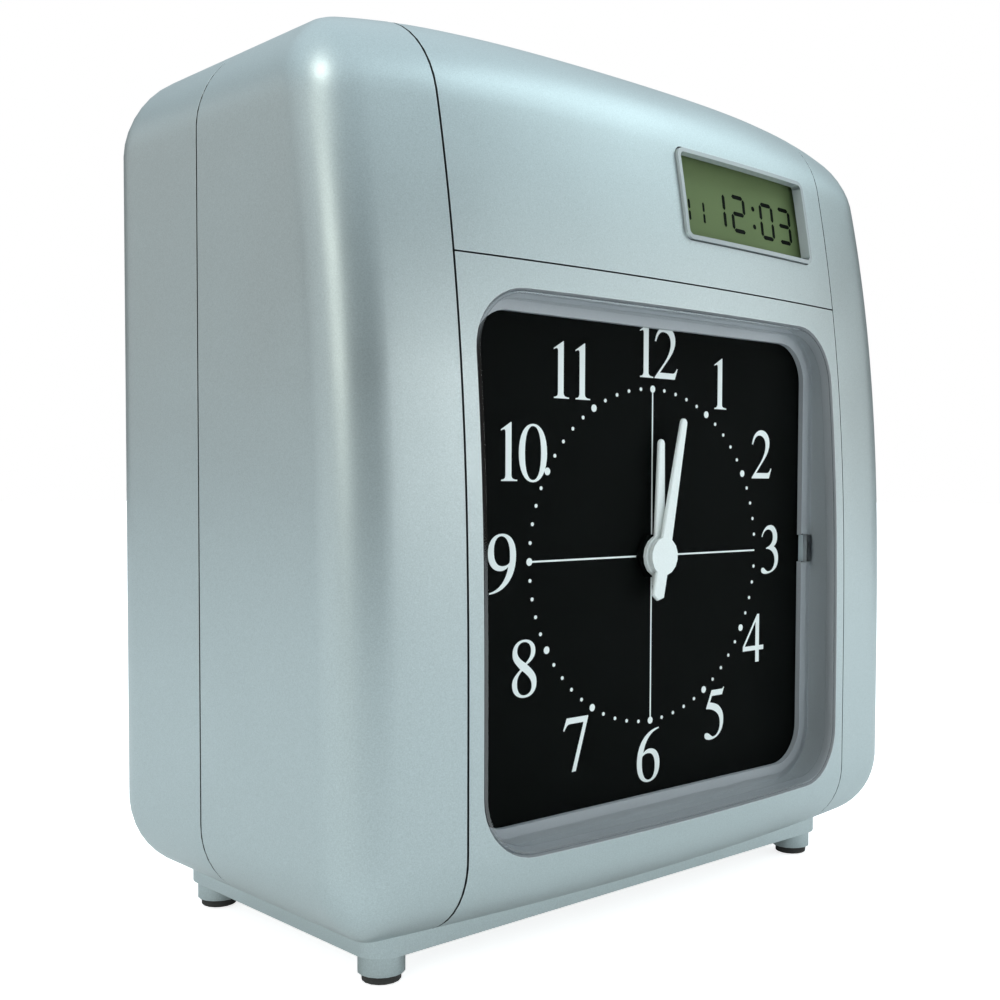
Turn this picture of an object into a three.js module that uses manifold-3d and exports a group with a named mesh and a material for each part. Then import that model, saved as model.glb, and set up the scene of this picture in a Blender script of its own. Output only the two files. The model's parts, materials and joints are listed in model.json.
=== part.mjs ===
// A time clock: a card recorder with an analogue dial and a small liquid crystal display in its front.
// Millimetres. X points right and Y points back as seen from the front, Z points up.
// The origin lies on the bench, under the middle of the housing.
import * as THREE from "three";
import { mergeVertices } from "three/addons/utils/BufferGeometryUtils.js";
import Module from "manifold-3d";

const wasm = await Module();
wasm.setup();

// Housing.
const bodyHalfWidth = 98.3;
const bodyDepth = 112.6;
const coverBottomZ = 10.8;
const shoulderZ = 208.7;
const crownRise = 6.8;
const crownStartZ = 113.3;
const crownPower = 4.34;
const frontCornerRadius = 12.6;
const rearCornerRadius = 13.2;
const sharpestCorner = 3;
const topFilletRadius = 17.8;
const bottomFilletRadius = 19.7;
const bowRadius = 682;
const leanDepth = 14.2;
const leanStartZ = 51.6;
const leanEndZ = 204;
const leanPower = 2.85;
const wallThickness = 2.4;
const panelThickness = 2.2;
const webThickness = 2;
const webRibWidth = 2.4;
const seamGap = 0.4;
const fitGap = 0.3;
const panelHalfWidth = 69.3;
const headerSeamZ = 159.9;
const coverDepth = 65.9;

// Pieces near the front keep their depth behind the front face, and those near the back their depth
// before the back face. What stands between is placed by shares of the space behind the card.
const frontFaceY = -bodyDepth / 2;
const backFaceY = bodyDepth / 2;
const rearSeamY = frontFaceY + coverDepth;

// Base plate and feet.
const footX = 75.9;
const footFrontInset = 25.8;
const footRearInset = 15.1;
const footFrontY = frontFaceY + footFrontInset;
const footRearY = backFaceY - footRearInset;
const footBossRadius = 5.4;
const baseMargin = 1.2;
const footPadRadius = 4.5;
const footPadHeight = 3.2;
const footPadProud = 2;
const baseBottomZ = 6.6;
const baseFloorThickness = 2.4;
const baseRimHeight = 10;
const baseRimThickness = 2;

// Dial, window and hands.
const dialCentreZ = 92.3;
const dialDepth = 14.5;
const dialFaceY = frontFaceY + dialDepth;
const dialThickness = 2;
const dialHalfWidth = 64;
const dialCornerRadius = 14;
const windowHalfWidth = 65.3;
const windowBottomZ = 27.6;
const windowTopZ = 153.6;
const windowCornerRadius = 14.7;
const wellThickness = 1.6;
const lipWidth = 4.2;
const lipThickness = 1.5;
const lensInset = 0.2;
const lensThickness = 2;
const lensWallThickness = 1.6;
const snapTabWidth = 2.6;
const snapTabHeight = 7.6;
const minuteHandLength = 35.5;
const minuteHandTail = 11.3;
const minuteHandWidth = 4.2;
const minuteHubRadius = 4.8;
const hourHandLength = 29.4;
const hourHandTail = 8.4;
const hourHandWidth = 4;
const hourHubRadius = 5.25;
const handThickness = 1.1;
const handTipShare = 0.55;
const handBevel = 0.3;
const handStep = 0.5;
const minuteHandDegrees = 12;
const hoursPerTurn = 12;

// Dial movement, measured from the dial's centre.
const movementHalfWidth = 28;
const movementDepth = 15.5;
const movementWall = 1.5;
const bushRadius = 4;
const bushBoreRadius = 3;
const hourTubeRadius = 2.6;
const hourTubeBoreRadius = 1.9;
const arborRadius = 1.5;
const nutSides = 6;
const nutRadius = 6.2;
const nutThickness = 1.2;
const clockModule = 0.6;
const cannonTeeth = 10;
const minuteWheelTeeth = 30;
const minutePinionTeeth = 8;
const hourWheelTeeth = 32;
const centerWheelTeeth = 40;
const rotorTeeth = 8;
const clockGearWidth = 1.2;
const pinionWidth = 1.8;
const gearLayerGap = 0.6;
const studRadius = 0.8;
const magnetRadius = 4;
const coilLength = 26;
const coilSize = 5.5;

// Display in the header.
const lcdLeftX = 3.8;
const lcdRightX = 56.7;
const lcdToShoulder = 14.3;
const lcdHeight = 21.9;
const lcdTopZ = shoulderZ - lcdToShoulder;
const lcdBottomZ = lcdTopZ - lcdHeight;
const lcdFrameWidth = 1.9;
const lcdFrameProud = 0.8;
const lcdFrameCorner = 2.5;
const lcdPaneDepth = 1.2;
const lcdPaneThickness = 1;
const lcdDepth = 3.9;
const lcdModuleThickness = 5;
const lcdModuleMargin = 2.4;
const boardThickness = 1.6;
const displayBoardHalfWidth = 60;
const displayBoardBottomZ = 161.5;
const displayBoardTopZ = 198;
const buttonCount = 4;
const buttonRadius = 2.6;
const buttonLength = 3.4;
const buttonGap = 0.8;
const buttonPitch = 11;
const buttonFirstX = -47;
const buttonZ = 183;

// Card path.
const cardDepth = 47.3;
const cardPlaneY = frontFaceY + cardDepth;
const spaceBehindCard = backFaceY - cardPlaneY;
const cardPocketDepth = 6.4;
const cardPocketHalfWidth = 46.5;
const guideThickness = 2;
const guideBottomZ = 12;
const frontGuideTopZ = 180;
const rearGuideTopZ = 196.5;
const throatExtra = 1;
const throatWall = 1.4;
const throatBottomZ = 200;
const printLineZ = 170;
const printWindowHeight = 11;

// Inner frame.
const frameMargin = 10;
const frameHalfWidth = cardPocketHalfWidth + frameMargin;
const sheetThickness = 1.5;
const frameTopZ = 200;
const frameDepth = 24.7;
const frameFrontY = frontFaceY + frameDepth;
const frameBackShare = 0.352;
const frameBackY = cardPlaneY + frameBackShare * spaceBehindCard;
const frameBackTopZ = 166;
const motorPlateMargin = 12.4;
const frameMotorShelfZ = 174;
const footFlangeWidth = 12;
const dialFlangeWidth = 7;
const dialFlangeMargin = 8;
const boardFlangeWidth = 5;
const shaftClearance = 0.4;

// Feed rollers and their drive.
const feedZ = 188;
const nipGap = 0.2;
const feedRollerRadius = 7;
const pinchRollerRadius = 5;
const rollerX = 28;
const rollerWidth = 12;
const feedShaftRadius = 2;
const pinchShaftRadius = 1.5;
const feedModule = 0.6;
const feedGearTeeth = 36;
const feedPinionTeeth = 12;
const feedGearWidth = 4;
const motorRadius = 10.5;
const motorLength = 18;
const motorShaftRadius = 1.2;

// Print unit.
const rodRadius = 2;
const rodToCard = 18.8;
const rodY = cardPlaneY - rodToCard;
const lowerRodZ = 160.5;
const upperRodZ = 177;
const carriageHalfWidth = 15;
const carriageDepth = 7.4;
const carriageToCard = 15;
const carriageBackY = cardPlaneY - carriageToCard;
const carriageFrontY = carriageBackY - carriageDepth;
const carriageBottomZ = 155;
const carriageTopZ = 183;
const carriageTravel = 19;
const rackEndLength = 7;
const headHalfWidth = 10;
const headBottomZ = 160;
const headTopZ = 181;
const headNoseHalfWidth = 3.5;
const headNoseHeight = 9;
const headNoseLength = 2.2;
const headFinCount = 4;
const finGap = 1.6;
const ribbonThickness = 0.5;
const ribbonHeight = 8;
const rackModule = 0.8;
const rackPinionTeeth = 12;
const rackWidth = 3;
const rackBackingHeight = 3.4;
const carriageMotorRadius = 8.8;
const cartridgeMargin = 1.5;
const cartridgeHalfWidth = cardPocketHalfWidth + cartridgeMargin;
const cartridgeArmWidth = 8;
const cartridgeToCard = 11.2;
const cartridgeBackY = cardPlaneY - cartridgeToCard;
const cartridgeBottomZ = 186;
const cartridgeTopZ = 197;
const platenMargin = 10.5;
const platenHalfWidth = cardPocketHalfWidth - platenMargin;
const platenBarDepth = 4;

// Electronics behind the card path.
const mainBoardHalfWidth = 55;
const mainBoardBottomZ = 52;
const mainBoardTopZ = 152;
const mainBoardShare = 0.689;
const mainBoardFrontY = cardPlaneY + mainBoardShare * spaceBehindCard;
const standoffRadius = 3;
const standoffInset = 6;
const transformerSize = 24;
const connectorLength = 34;
const connectorSize = 7;
const batteryLength = 50;
const batteryRadius = 7.5;
const batteryX = -24;
const batteryShare = 0.551;
const batteryY = cardPlaneY + batteryShare * spaceBehindCard;
const inletX = -52;
const inletZ = 40;
const inletWidth = 13;
const inletHeight = 11;
const inletDepth = 13;
const inletBoreRadius = 3;
const inletBoreDepth = 9;
const inletPinRadius = 1;

// Lock in the right cheek.
const lockDepth = 44.3;
const lockY = frontFaceY + lockDepth;
const lockZ = 120;
const lockFlangeRadius = 8;
const lockFlangeThickness = 1;
const lockSleeveRadius = 6.6;
const lockBarrelRadius = 5;
const lockLength = 12;
const keySlotWidth = 1.4;
const keySlotDepth = 4;
const camLength = 15;
const camWidth = 6;
const camCornerRadius = 2.8;
const camThickness = 1.6;
const keeperThickness = 1.6;
const keeperHeight = 9;

// Case screws through the base plate.
const screwShankRadius = 1.5;
const screwHeadRadius = 3;
const screwHeadHeight = 1.6;
const screwLength = 7;
const screwInsetX = 4.5;
const screwInsetY = 9;

// Teeth, as shares of the pitch and of the module.
const toothRootShare = 0.27;
const toothTipShare = 0.11;
const addendumShare = 0.72;
const dedendumShare = 1.05;

// Making values.
const overrun = 20;
const weldDistance = 0.001;
const arcSteps = 4;
const outerSteps = { corner: 5, bow: 6, fillet: 5, wall: 5 };
const innerSteps = { corner: 3, bow: 4, fillet: 3, wall: 4 };
const levelSpread = 0.75;
const roundSides = 16;
const smallSides = 12;

// Finishes.
function finish(color, roughness, metalness = 0) {
  return new THREE.MeshStandardMaterial({ color, roughness, metalness });
}
const silverPaint = finish(0xb3c2c2, 0.42, 0.35);
const greyPlastic = finish(0x7f8988, 0.5);
const blackPlastic = finish(0x15181a, 0.5);
const whitePlastic = finish(0xd9dcd8, 0.5);
const handPlastic = finish(0xc8d2d0, 0.45);
const rubber = finish(0x41413f, 0.9);
const steel = finish(0x9aa0a4, 0.35, 0.9);
const brass = finish(0xb08d4a, 0.35, 0.9);
const boardGreen = finish(0x1f5a3a, 0.6);
const displayGreen = finish(0x6a7d55, 0.35);
const copper = finish(0x9a5a30, 0.45, 0.7);
const clear = finish(0xdfe7e6, 0.08);
clear.transparent = true;
clear.opacity = 0.3;

// Solids from three.js geometry, and back.
function toSolid(geometry) {
  const bare = geometry.clone();
  bare.deleteAttribute("normal");
  bare.deleteAttribute("uv");
  const merged = mergeVertices(bare, weldDistance);
  const vertProperties = merged.attributes.position.array;
  const triVerts = new Uint32Array(merged.index.array);
  return new wasm.Manifold(new wasm.Mesh({ numProp: 3, vertProperties, triVerts }));
}

function toGeometry(solid) {
  const mesh = solid.getMesh();
  const geometry = new THREE.BufferGeometry();
  geometry.setAttribute("position", new THREE.BufferAttribute(mesh.vertProperties, 3));
  geometry.setIndex(new THREE.BufferAttribute(mesh.triVerts, 1));
  geometry.computeVertexNormals();
  return geometry;
}

const clock = new THREE.Group();

function addPiece(name, solid, material, parent = clock) {
  const mesh = new THREE.Mesh(toGeometry(solid), material);
  mesh.name = name;
  parent.add(mesh);
  return mesh;
}

function addGroup(x, y, z, parent = clock) {
  const group = new THREE.Group();
  group.position.set(x, y, z);
  parent.add(group);
  return group;
}

// Basic solids, each given by its limits along the three axes.
function block(x0, x1, y0, y1, z0, z1) {
  const geometry = new THREE.BoxGeometry(x1 - x0, y1 - y0, z1 - z0);
  geometry.translate((x0 + x1) / 2, (y0 + y1) / 2, (z0 + z1) / 2);
  return toSolid(geometry);
}

// An outline is drawn in the plane that the axis is square to: X and Z for Y, Y and Z for X.
const axisTurns = {
  x: new THREE.Matrix4().makeBasis(
    new THREE.Vector3(0, 1, 0),
    new THREE.Vector3(0, 0, 1),
    new THREE.Vector3(1, 0, 0),
  ),
  y: new THREE.Matrix4().makeBasis(
    new THREE.Vector3(1, 0, 0),
    new THREE.Vector3(0, 0, 1),
    new THREE.Vector3(0, -1, 0),
  ),
  z: new THREE.Matrix4(),
};

function extrude(outline, axis, start, end, bevel = 0) {
  const depth = end - start;
  const geometry = new THREE.ExtrudeGeometry(outline, {
    depth: depth - 2 * bevel,
    steps: 1,
    curveSegments: arcSteps,
    bevelEnabled: bevel > 0,
    bevelThickness: bevel,
    bevelSize: bevel,
    bevelOffset: -bevel,
    bevelSegments: 1,
  });
  geometry.translate(0, 0, bevel);
  geometry.applyMatrix4(axisTurns[axis]);
  const shift = { x: [start, 0, 0], y: [0, end, 0], z: [0, 0, start] }[axis];
  geometry.translate(...shift);
  return toSolid(geometry);
}

function rod(axis, start, end, radius, u = 0, v = 0, sides = roundSides) {
  const geometry = new THREE.CylinderGeometry(radius, radius, end - start, sides);
  const middle = (start + end) / 2;
  if (axis === "x") {
    geometry.rotateZ(-Math.PI / 2);
    geometry.translate(middle, u, v);
  } else if (axis === "y") {
    geometry.translate(u, middle, v);
  } else {
    geometry.rotateX(Math.PI / 2);
    geometry.translate(u, v, middle);
  }
  return toSolid(geometry);
}

function join(...solids) {
  return solids.reduce((all, next) => all.add(next));
}

// Outlines.
function roundedRectangle(x0, x1, y0, y1, radius) {
  const outline = new THREE.Shape();
  outline.moveTo(x0 + radius, y0);
  outline.lineTo(x1 - radius, y0);
  outline.absarc(x1 - radius, y0 + radius, radius, -Math.PI / 2, 0, false);
  outline.lineTo(x1, y1 - radius);
  outline.absarc(x1 - radius, y1 - radius, radius, 0, Math.PI / 2, false);
  outline.lineTo(x0 + radius, y1);
  outline.absarc(x0 + radius, y1 - radius, radius, Math.PI / 2, Math.PI, false);
  outline.lineTo(x0, y0 + radius);
  outline.absarc(x0 + radius, y0 + radius, radius, Math.PI, Math.PI * 1.5, false);
  return outline;
}

// A gear's outline, with the middle of a tooth at the angle "phase".
function gearOutline(teeth, module, phase) {
  const pitchRadius = (module * teeth) / 2;
  const rootRadius = pitchRadius - dedendumShare * module;
  const tipRadius = pitchRadius + addendumShare * module;
  const toothAngle = (2 * Math.PI) / teeth;
  const corners = [
    [-toothRootShare, rootRadius],
    [-toothTipShare, tipRadius],
    [toothTipShare, tipRadius],
    [toothRootShare, rootRadius],
  ];
  const points = [];
  for (let tooth = 0; tooth < teeth; tooth += 1) {
    for (const [share, radius] of corners) {
      const angle = phase + (tooth + share) * toothAngle;
      points.push(new THREE.Vector2(radius * Math.cos(angle), radius * Math.sin(angle)));
    }
  }
  return new THREE.Shape(points);
}

function gear(axis, start, end, teeth, module, phase) {
  return extrude(gearOutline(teeth, module, phase), axis, start, end);
}

// The housing's form: plan outlines with a bowed front and four round corners, stacked from the curl
// at the bottom to the edge at the top. "inset" moves the whole surface inwards.
function frontY(z) {
  const share = Math.max(0, (z - leanStartZ) / (leanEndZ - leanStartZ));
  return frontFaceY + leanDepth * share ** leanPower;
}

function bowDrop(x) {
  return bowRadius - Math.sqrt(bowRadius ** 2 - x ** 2);
}

function crownAt(x, z) {
  const height = THREE.MathUtils.clamp((z - crownStartZ) / (shoulderZ - crownStartZ), 0, 1);
  return crownRise * height ** 2 * (1 - Math.abs(x / bodyHalfWidth) ** crownPower);
}

function planOutline(z, inset, steps) {
  const bow = bowRadius - inset;
  const bowCentreY = frontY(z) + bowRadius;
  const side = bodyHalfWidth - inset;
  const front = Math.max(frontCornerRadius - inset, sharpestCorner);
  const rear = Math.max(rearCornerRadius - inset, sharpestCorner);
  const cornerX = side - front;
  const cornerY = bowCentreY - Math.sqrt((bow - front) ** 2 - cornerX ** 2);
  const sweep = Math.asin(cornerX / (bow - front));
  const backY = backFaceY - inset;
  const points = [];
  const arc = (centreX, centreY, radius, from, to, count) => {
    for (let i = 0; i <= count; i += 1) {
      const angle = from + ((to - from) * i) / count;
      points.push([centreX + radius * Math.sin(angle), centreY - radius * Math.cos(angle)]);
    }
  };
  arc(-cornerX, cornerY, front, -Math.PI / 2, -sweep, steps.corner);
  points.pop();
  arc(0, bowCentreY, bow, -sweep, sweep, steps.bow);
  points.pop();
  arc(cornerX, cornerY, front, sweep, Math.PI / 2, steps.corner);
  arc(side - rear, backY - rear, rear, Math.PI / 2, Math.PI, steps.corner);
  points.pop();
  for (let i = 0; i < steps.bow; i += 1) {
    points.push([(side - rear) * (1 - (2 * i) / steps.bow), backY]);
  }
  arc(rear - side, backY - rear, rear, Math.PI, Math.PI * 1.5, steps.corner);
  return points;
}

function housingForm(inset, steps = innerSteps) {
  const levels = [];
  const bottomRadius = bottomFilletRadius - inset;
  const topRadius = topFilletRadius - inset;
  const curlTopZ = coverBottomZ + bottomFilletRadius;
  const edgeBottomZ = shoulderZ - topFilletRadius;
  for (let i = 0; i <= steps.fillet; i += 1) {
    const angle = (Math.PI / 2) * (i / steps.fillet);
    levels.push([
      curlTopZ - bottomRadius * Math.cos(angle),
      bottomFilletRadius - bottomRadius * Math.sin(angle),
    ]);
  }
  for (let i = 1; i < steps.wall; i += 1) {
    levels.push([curlTopZ + (edgeBottomZ - curlTopZ) * (i / steps.wall) ** levelSpread, inset]);
  }
  for (let i = 0; i <= steps.fillet; i += 1) {
    const angle = (Math.PI / 2) * (i / steps.fillet);
    levels.push([
      edgeBottomZ + topRadius * Math.sin(angle),
      topFilletRadius - topRadius * Math.cos(angle),
    ]);
  }
  const positions = [];
  let count = 0;
  for (const [z, levelInset] of levels) {
    const outline = planOutline(z, levelInset, steps);
    count = outline.length;
    for (const [x, y] of outline) positions.push(x, y, z + crownAt(x, z));
  }
  const faces = [];
  const quad = (a, b, c, d) => faces.push(a, b, c, a, c, d);
  for (let level = 0; level + 1 < levels.length; level += 1) {
    for (let i = 0; i < count; i += 1) {
      const next = (i + 1) % count;
      const low = level * count;
      const high = low + count;
      quad(low + i, low + next, high + next, high + i);
    }
  }
  const top = (levels.length - 1) * count;
  for (let i = 0; i + 1 < count / 2; i += 1) {
    const across = count - 1 - i;
    quad(top + i, top + i + 1, top + across - 1, top + across);
    quad(across, across - 1, i + 1, i);
  }
  const geometry = new THREE.BufferGeometry();
  geometry.setAttribute("position", new THREE.Float32BufferAttribute(positions, 3));
  geometry.setIndex(faces);
  return toSolid(geometry);
}

const housingOuter = housingForm(0, outerSteps);
const housingInner = housingForm(wallThickness);
const panelInner = housingForm(panelThickness);
const webOuter = housingForm(panelThickness + fitGap);
const webInner = housingForm(panelThickness + fitGap + webThickness);
const housingTopZ = shoulderZ + crownRise;
const sideLimit = bodyHalfWidth + overrun;
const depthLimit = bodyDepth / 2 + overrun;
const topLimit = housingTopZ + overrun;

function acrossBody(halfWidth, y0, y1, z0, z1) {
  return block(-halfWidth, halfWidth, y0, y1, z0, z1);
}

const frontHalf = acrossBody(sideLimit, -depthLimit, rearSeamY - seamGap / 2, 0, topLimit);
const rearHalf = acrossBody(sideLimit, rearSeamY + seamGap / 2, depthLimit, 0, topLimit);
const coverBackY = rearSeamY - seamGap / 2;
const panelBand = acrossBody(panelHalfWidth - seamGap / 2, -depthLimit, coverBackY, 0, topLimit);
const cheekCut = acrossBody(panelHalfWidth + seamGap / 2, -depthLimit, depthLimit, 0, topLimit);
const webBand = acrossBody(panelHalfWidth + webRibWidth, -depthLimit, coverBackY, 0, topLimit);

// The base plate's outline, which the housing's curl surrounds.
const baseCornerRadius = footBossRadius + baseMargin;
const baseHalfWidth = footX + baseCornerRadius;
const baseFrontY = footFrontY - baseCornerRadius;
const baseRearY = footRearY + baseCornerRadius;
const baseFloorZ = baseBottomZ + baseFloorThickness;
const baseRimZ = baseFloorZ + baseRimHeight;

function baseOutline(grow) {
  return roundedRectangle(
    -baseHalfWidth - grow,
    baseHalfWidth + grow,
    baseFrontY - grow,
    baseRearY + grow,
    baseCornerRadius + grow,
  );
}

// The cover slides off to the front, so its notch round the base plate is open to the rear.
const baseNotch = extrude(baseOutline(seamGap), "z", 0, baseRimZ);
const coverNotch = join(
  baseNotch,
  acrossBody(baseHalfWidth + seamGap, baseFrontY + baseCornerRadius, depthLimit, 0, baseRimZ),
);

// Lock hole in the right cheek, with its flange let in flush.
const lockFlangeX = bodyHalfWidth - lockFlangeThickness - seamGap / 2;
const lockHole = join(
  rod("x", bodyHalfWidth - wallThickness - overrun, sideLimit, lockSleeveRadius + fitGap, lockY, lockZ),
  rod("x", lockFlangeX - fitGap, sideLimit, lockFlangeRadius + fitGap, lockY, lockZ),
);

// Openings through the front, each an outline grown by a margin.
function dialOpening(grow, radius) {
  return roundedRectangle(
    -windowHalfWidth - grow,
    windowHalfWidth + grow,
    windowBottomZ - grow,
    windowTopZ + grow,
    radius,
  );
}

function lcdOpening(grow, radius) {
  return roundedRectangle(lcdLeftX - grow, lcdRightX + grow, lcdBottomZ - grow, lcdTopZ + grow, radius);
}

function throughFront(outline) {
  return extrude(outline, "y", -depthLimit, dialFaceY + overrun);
}

const pocketFrontY = cardPlaneY - cardPocketDepth / 2;
const pocketBackY = cardPlaneY + cardPocketDepth / 2;

function throatBox(grow, z0) {
  return acrossBody(
    cardPocketHalfWidth + grow,
    pocketFrontY - throatExtra - grow,
    pocketBackY + throatExtra + grow,
    z0,
    topLimit,
  );
}

// Rear case: the back of the housing, with the stand-offs of the main board.
const backInnerY = backFaceY - wallThickness;
const inletHole = block(
  inletX - inletWidth / 2 - fitGap,
  inletX + inletWidth / 2 + fitGap,
  backInnerY - overrun,
  depthLimit,
  inletZ - inletHeight / 2 - fitGap,
  inletZ + inletHeight / 2 + fitGap,
);
const mainBoardBackY = mainBoardFrontY + boardThickness;
const standoffFrontY = mainBoardBackY + fitGap;
const standoffBackY = backInnerY + wallThickness / 2;
let rearCase = housingOuter.subtract(housingInner).intersect(rearHalf);
for (const x of [-1, 1]) {
  for (const z of [mainBoardBottomZ + standoffInset, mainBoardTopZ - standoffInset]) {
    const standoffX = x * (mainBoardHalfWidth - standoffInset);
    rearCase = rearCase.add(
      rod("y", standoffFrontY, standoffBackY, standoffRadius, standoffX, z, smallSides),
    );
  }
}
rearCase = rearCase.subtract(baseNotch).subtract(inletHole);
addPiece("rear_case", rearCase, silverPaint);

// Front cover: two cheeks joined by a recessed web that carries the centre panels.
const cheeks = housingOuter.subtract(housingInner).intersect(frontHalf).subtract(cheekCut);
const webRibs = housingOuter.subtract(webInner).intersect(webBand).subtract(cheekCut);
const web = webOuter.subtract(webInner).intersect(webBand);
const lcdModuleGrow = lcdModuleMargin + fitGap;
const frontCover = join(cheeks, webRibs, web)
  .subtract(throughFront(dialOpening(wellThickness + seamGap, windowCornerRadius + wellThickness)))
  .subtract(throughFront(lcdOpening(lcdModuleGrow + lcdFrameWidth, lcdFrameCorner)))
  .subtract(throatBox(throatWall + seamGap, throatBottomZ - overrun))
  .subtract(coverNotch)
  .subtract(lockHole);
addPiece("front_cover", frontCover, silverPaint);

// Header panel, with the display's opening and the funnel of the card throat.
const panelSkin = housingOuter.subtract(panelInner).intersect(panelBand);
const aboveSeam = acrossBody(sideLimit, -depthLimit, depthLimit, headerSeamZ + seamGap / 2, topLimit);
const belowSeam = acrossBody(sideLimit, -depthLimit, depthLimit, 0, headerSeamZ - seamGap / 2);
const insideSkin = housingForm(panelThickness / 2);
const funnel = throatBox(throatWall, throatBottomZ).intersect(insideSkin);
const headerPanel = panelSkin
  .intersect(aboveSeam)
  .subtract(throughFront(lcdOpening(fitGap, lcdFrameCorner + fitGap)))
  .add(funnel)
  .subtract(throatBox(0, throatBottomZ - overrun));
addPiece("header_panel", headerPanel, silverPaint);

// Dial bezel: the lower panel, with the well that runs back to the dial and the lip that frames it.
const lipFrontY = dialFaceY - seamGap - lipThickness;
const lipBackY = dialFaceY - seamGap;
const wellRing = extrude(
  dialOpening(wellThickness, windowCornerRadius + wellThickness),
  "y",
  -depthLimit,
  lipBackY,
);
const wellHollow = extrude(dialOpening(0, windowCornerRadius), "y", -depthLimit - overrun, lipFrontY);
const lipHollow = throughFront(dialOpening(-lipWidth, windowCornerRadius - lipWidth / 2));
const tabSlots = join(
  ...[-1, 1].map((side) => {
    const x0 = windowHalfWidth - lipWidth - overrun;
    const x1 = windowHalfWidth - lipWidth + snapTabWidth + fitGap;
    const near = side > 0 ? x0 : -x1;
    const far = side > 0 ? x1 : -x0;
    const half = snapTabHeight / 2 + fitGap;
    return block(near, far, lipFrontY - fitGap, lipBackY + fitGap, dialCentreZ - half, dialCentreZ + half);
  }),
);
const dialBezel = panelSkin
  .intersect(belowSeam)
  .add(wellRing.intersect(insideSkin))
  .subtract(wellHollow)
  .subtract(lipHollow)
  .subtract(tabSlots)
  .subtract(coverNotch);
addPiece("dial_bezel", dialBezel, silverPaint);

// Dial window: a clear tray that sits in the well, on the lip.
const lensOuterForm = housingForm(lensInset, outerSteps);
const lensInnerForm = housingForm(lensInset + lensThickness);
const lensRadius = windowCornerRadius - fitGap;
const lensBlank = extrude(dialOpening(-fitGap, lensRadius), "y", -depthLimit, lipFrontY - fitGap);
const lensHollow = extrude(
  dialOpening(-fitGap - lensWallThickness, lensRadius - lensWallThickness),
  "y",
  -depthLimit,
  dialFaceY,
).intersect(lensInnerForm);
const lensTabs = [-1, 1].map((side) => {
  const x0 = windowHalfWidth - lipWidth + fitGap;
  const x1 = x0 + snapTabWidth - fitGap;
  const wallX = windowHalfWidth - fitGap;
  const half = snapTabHeight / 2;
  const hook = side > 0 ? [x0, x1] : [-x1, -x0];
  const foot = side > 0 ? [x0, wallX] : [-wallX, -x0];
  return join(
    block(...hook, lipFrontY - lensWallThickness, lipBackY - fitGap, dialCentreZ - half, dialCentreZ + half),
    block(
      ...foot,
      lipFrontY - fitGap - lensWallThickness,
      lipFrontY - fitGap,
      dialCentreZ - half,
      dialCentreZ + half,
    ),
  );
});
const dialWindow = join(lensBlank.intersect(lensOuterForm).subtract(lensHollow), ...lensTabs);
addPiece("dial_window", dialWindow, clear);

// Display window: a raised clear frame round a sunk pane, in the header's opening.
const lcdFrame = throughFront(lcdOpening(0, lcdFrameCorner));
const lcdSight = throughFront(lcdOpening(-lcdFrameWidth, lcdFrameCorner - lcdFrameWidth / 2));
const lcdWindow = housingForm(-lcdFrameProud, outerSteps)
  .subtract(housingForm(lcdPaneDepth + lcdPaneThickness))
  .intersect(lcdFrame)
  .subtract(lcdSight.subtract(housingForm(lcdPaneDepth)));
addPiece("lcd_window", lcdWindow, clear);

// Display module, parallel to the leaning header.
const lcdMiddleX = (lcdLeftX + lcdRightX) / 2;
const lcdMiddleZ = (lcdBottomZ + lcdTopZ) / 2;
const lcdHalfWidth = (lcdRightX - lcdLeftX) / 2 - lcdFrameWidth + lcdModuleMargin;
const lcdHalfHeight = (lcdTopZ - lcdBottomZ) / 2 - lcdFrameWidth + lcdModuleMargin;
const leanAngle = Math.atan((frontY(lcdTopZ) - frontY(lcdBottomZ)) / (lcdTopZ - lcdBottomZ));
const bowAngle = Math.asin(lcdMiddleX / bowRadius);
const lcdFaceY = frontY(lcdMiddleZ) + bowDrop(lcdMiddleX) + lcdDepth;
const lcdModule = addPiece(
  "lcd_module",
  block(-lcdHalfWidth, lcdHalfWidth, 0, lcdModuleThickness, -lcdHalfHeight, lcdHalfHeight),
  displayGreen,
  addGroup(lcdMiddleX, lcdFaceY, lcdMiddleZ),
);
lcdModule.rotation.set(-leanAngle, 0, bowAngle);

// Display board behind the module, with the setting buttons in front of its other half.
const displayBoardY =
  lcdFaceY +
  lcdModuleThickness * Math.cos(leanAngle) +
  lcdHalfHeight * Math.sin(leanAngle) +
  lcdHalfWidth * Math.sin(bowAngle) +
  fitGap;
const displayBoard = acrossBody(
  displayBoardHalfWidth,
  displayBoardY,
  displayBoardY + boardThickness,
  displayBoardBottomZ,
  displayBoardTopZ,
);
addPiece("display_board", displayBoard, boardGreen);
for (let i = 0; i < buttonCount; i += 1) {
  const place = addGroup(buttonFirstX + i * buttonPitch, displayBoardY - buttonGap, buttonZ);
  const cap = rod("y", -buttonLength, 0, buttonRadius, 0, 0, smallSides);
  addPiece(`setting_button_${i + 1}`, cap, whitePlastic, place);
}

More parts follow.
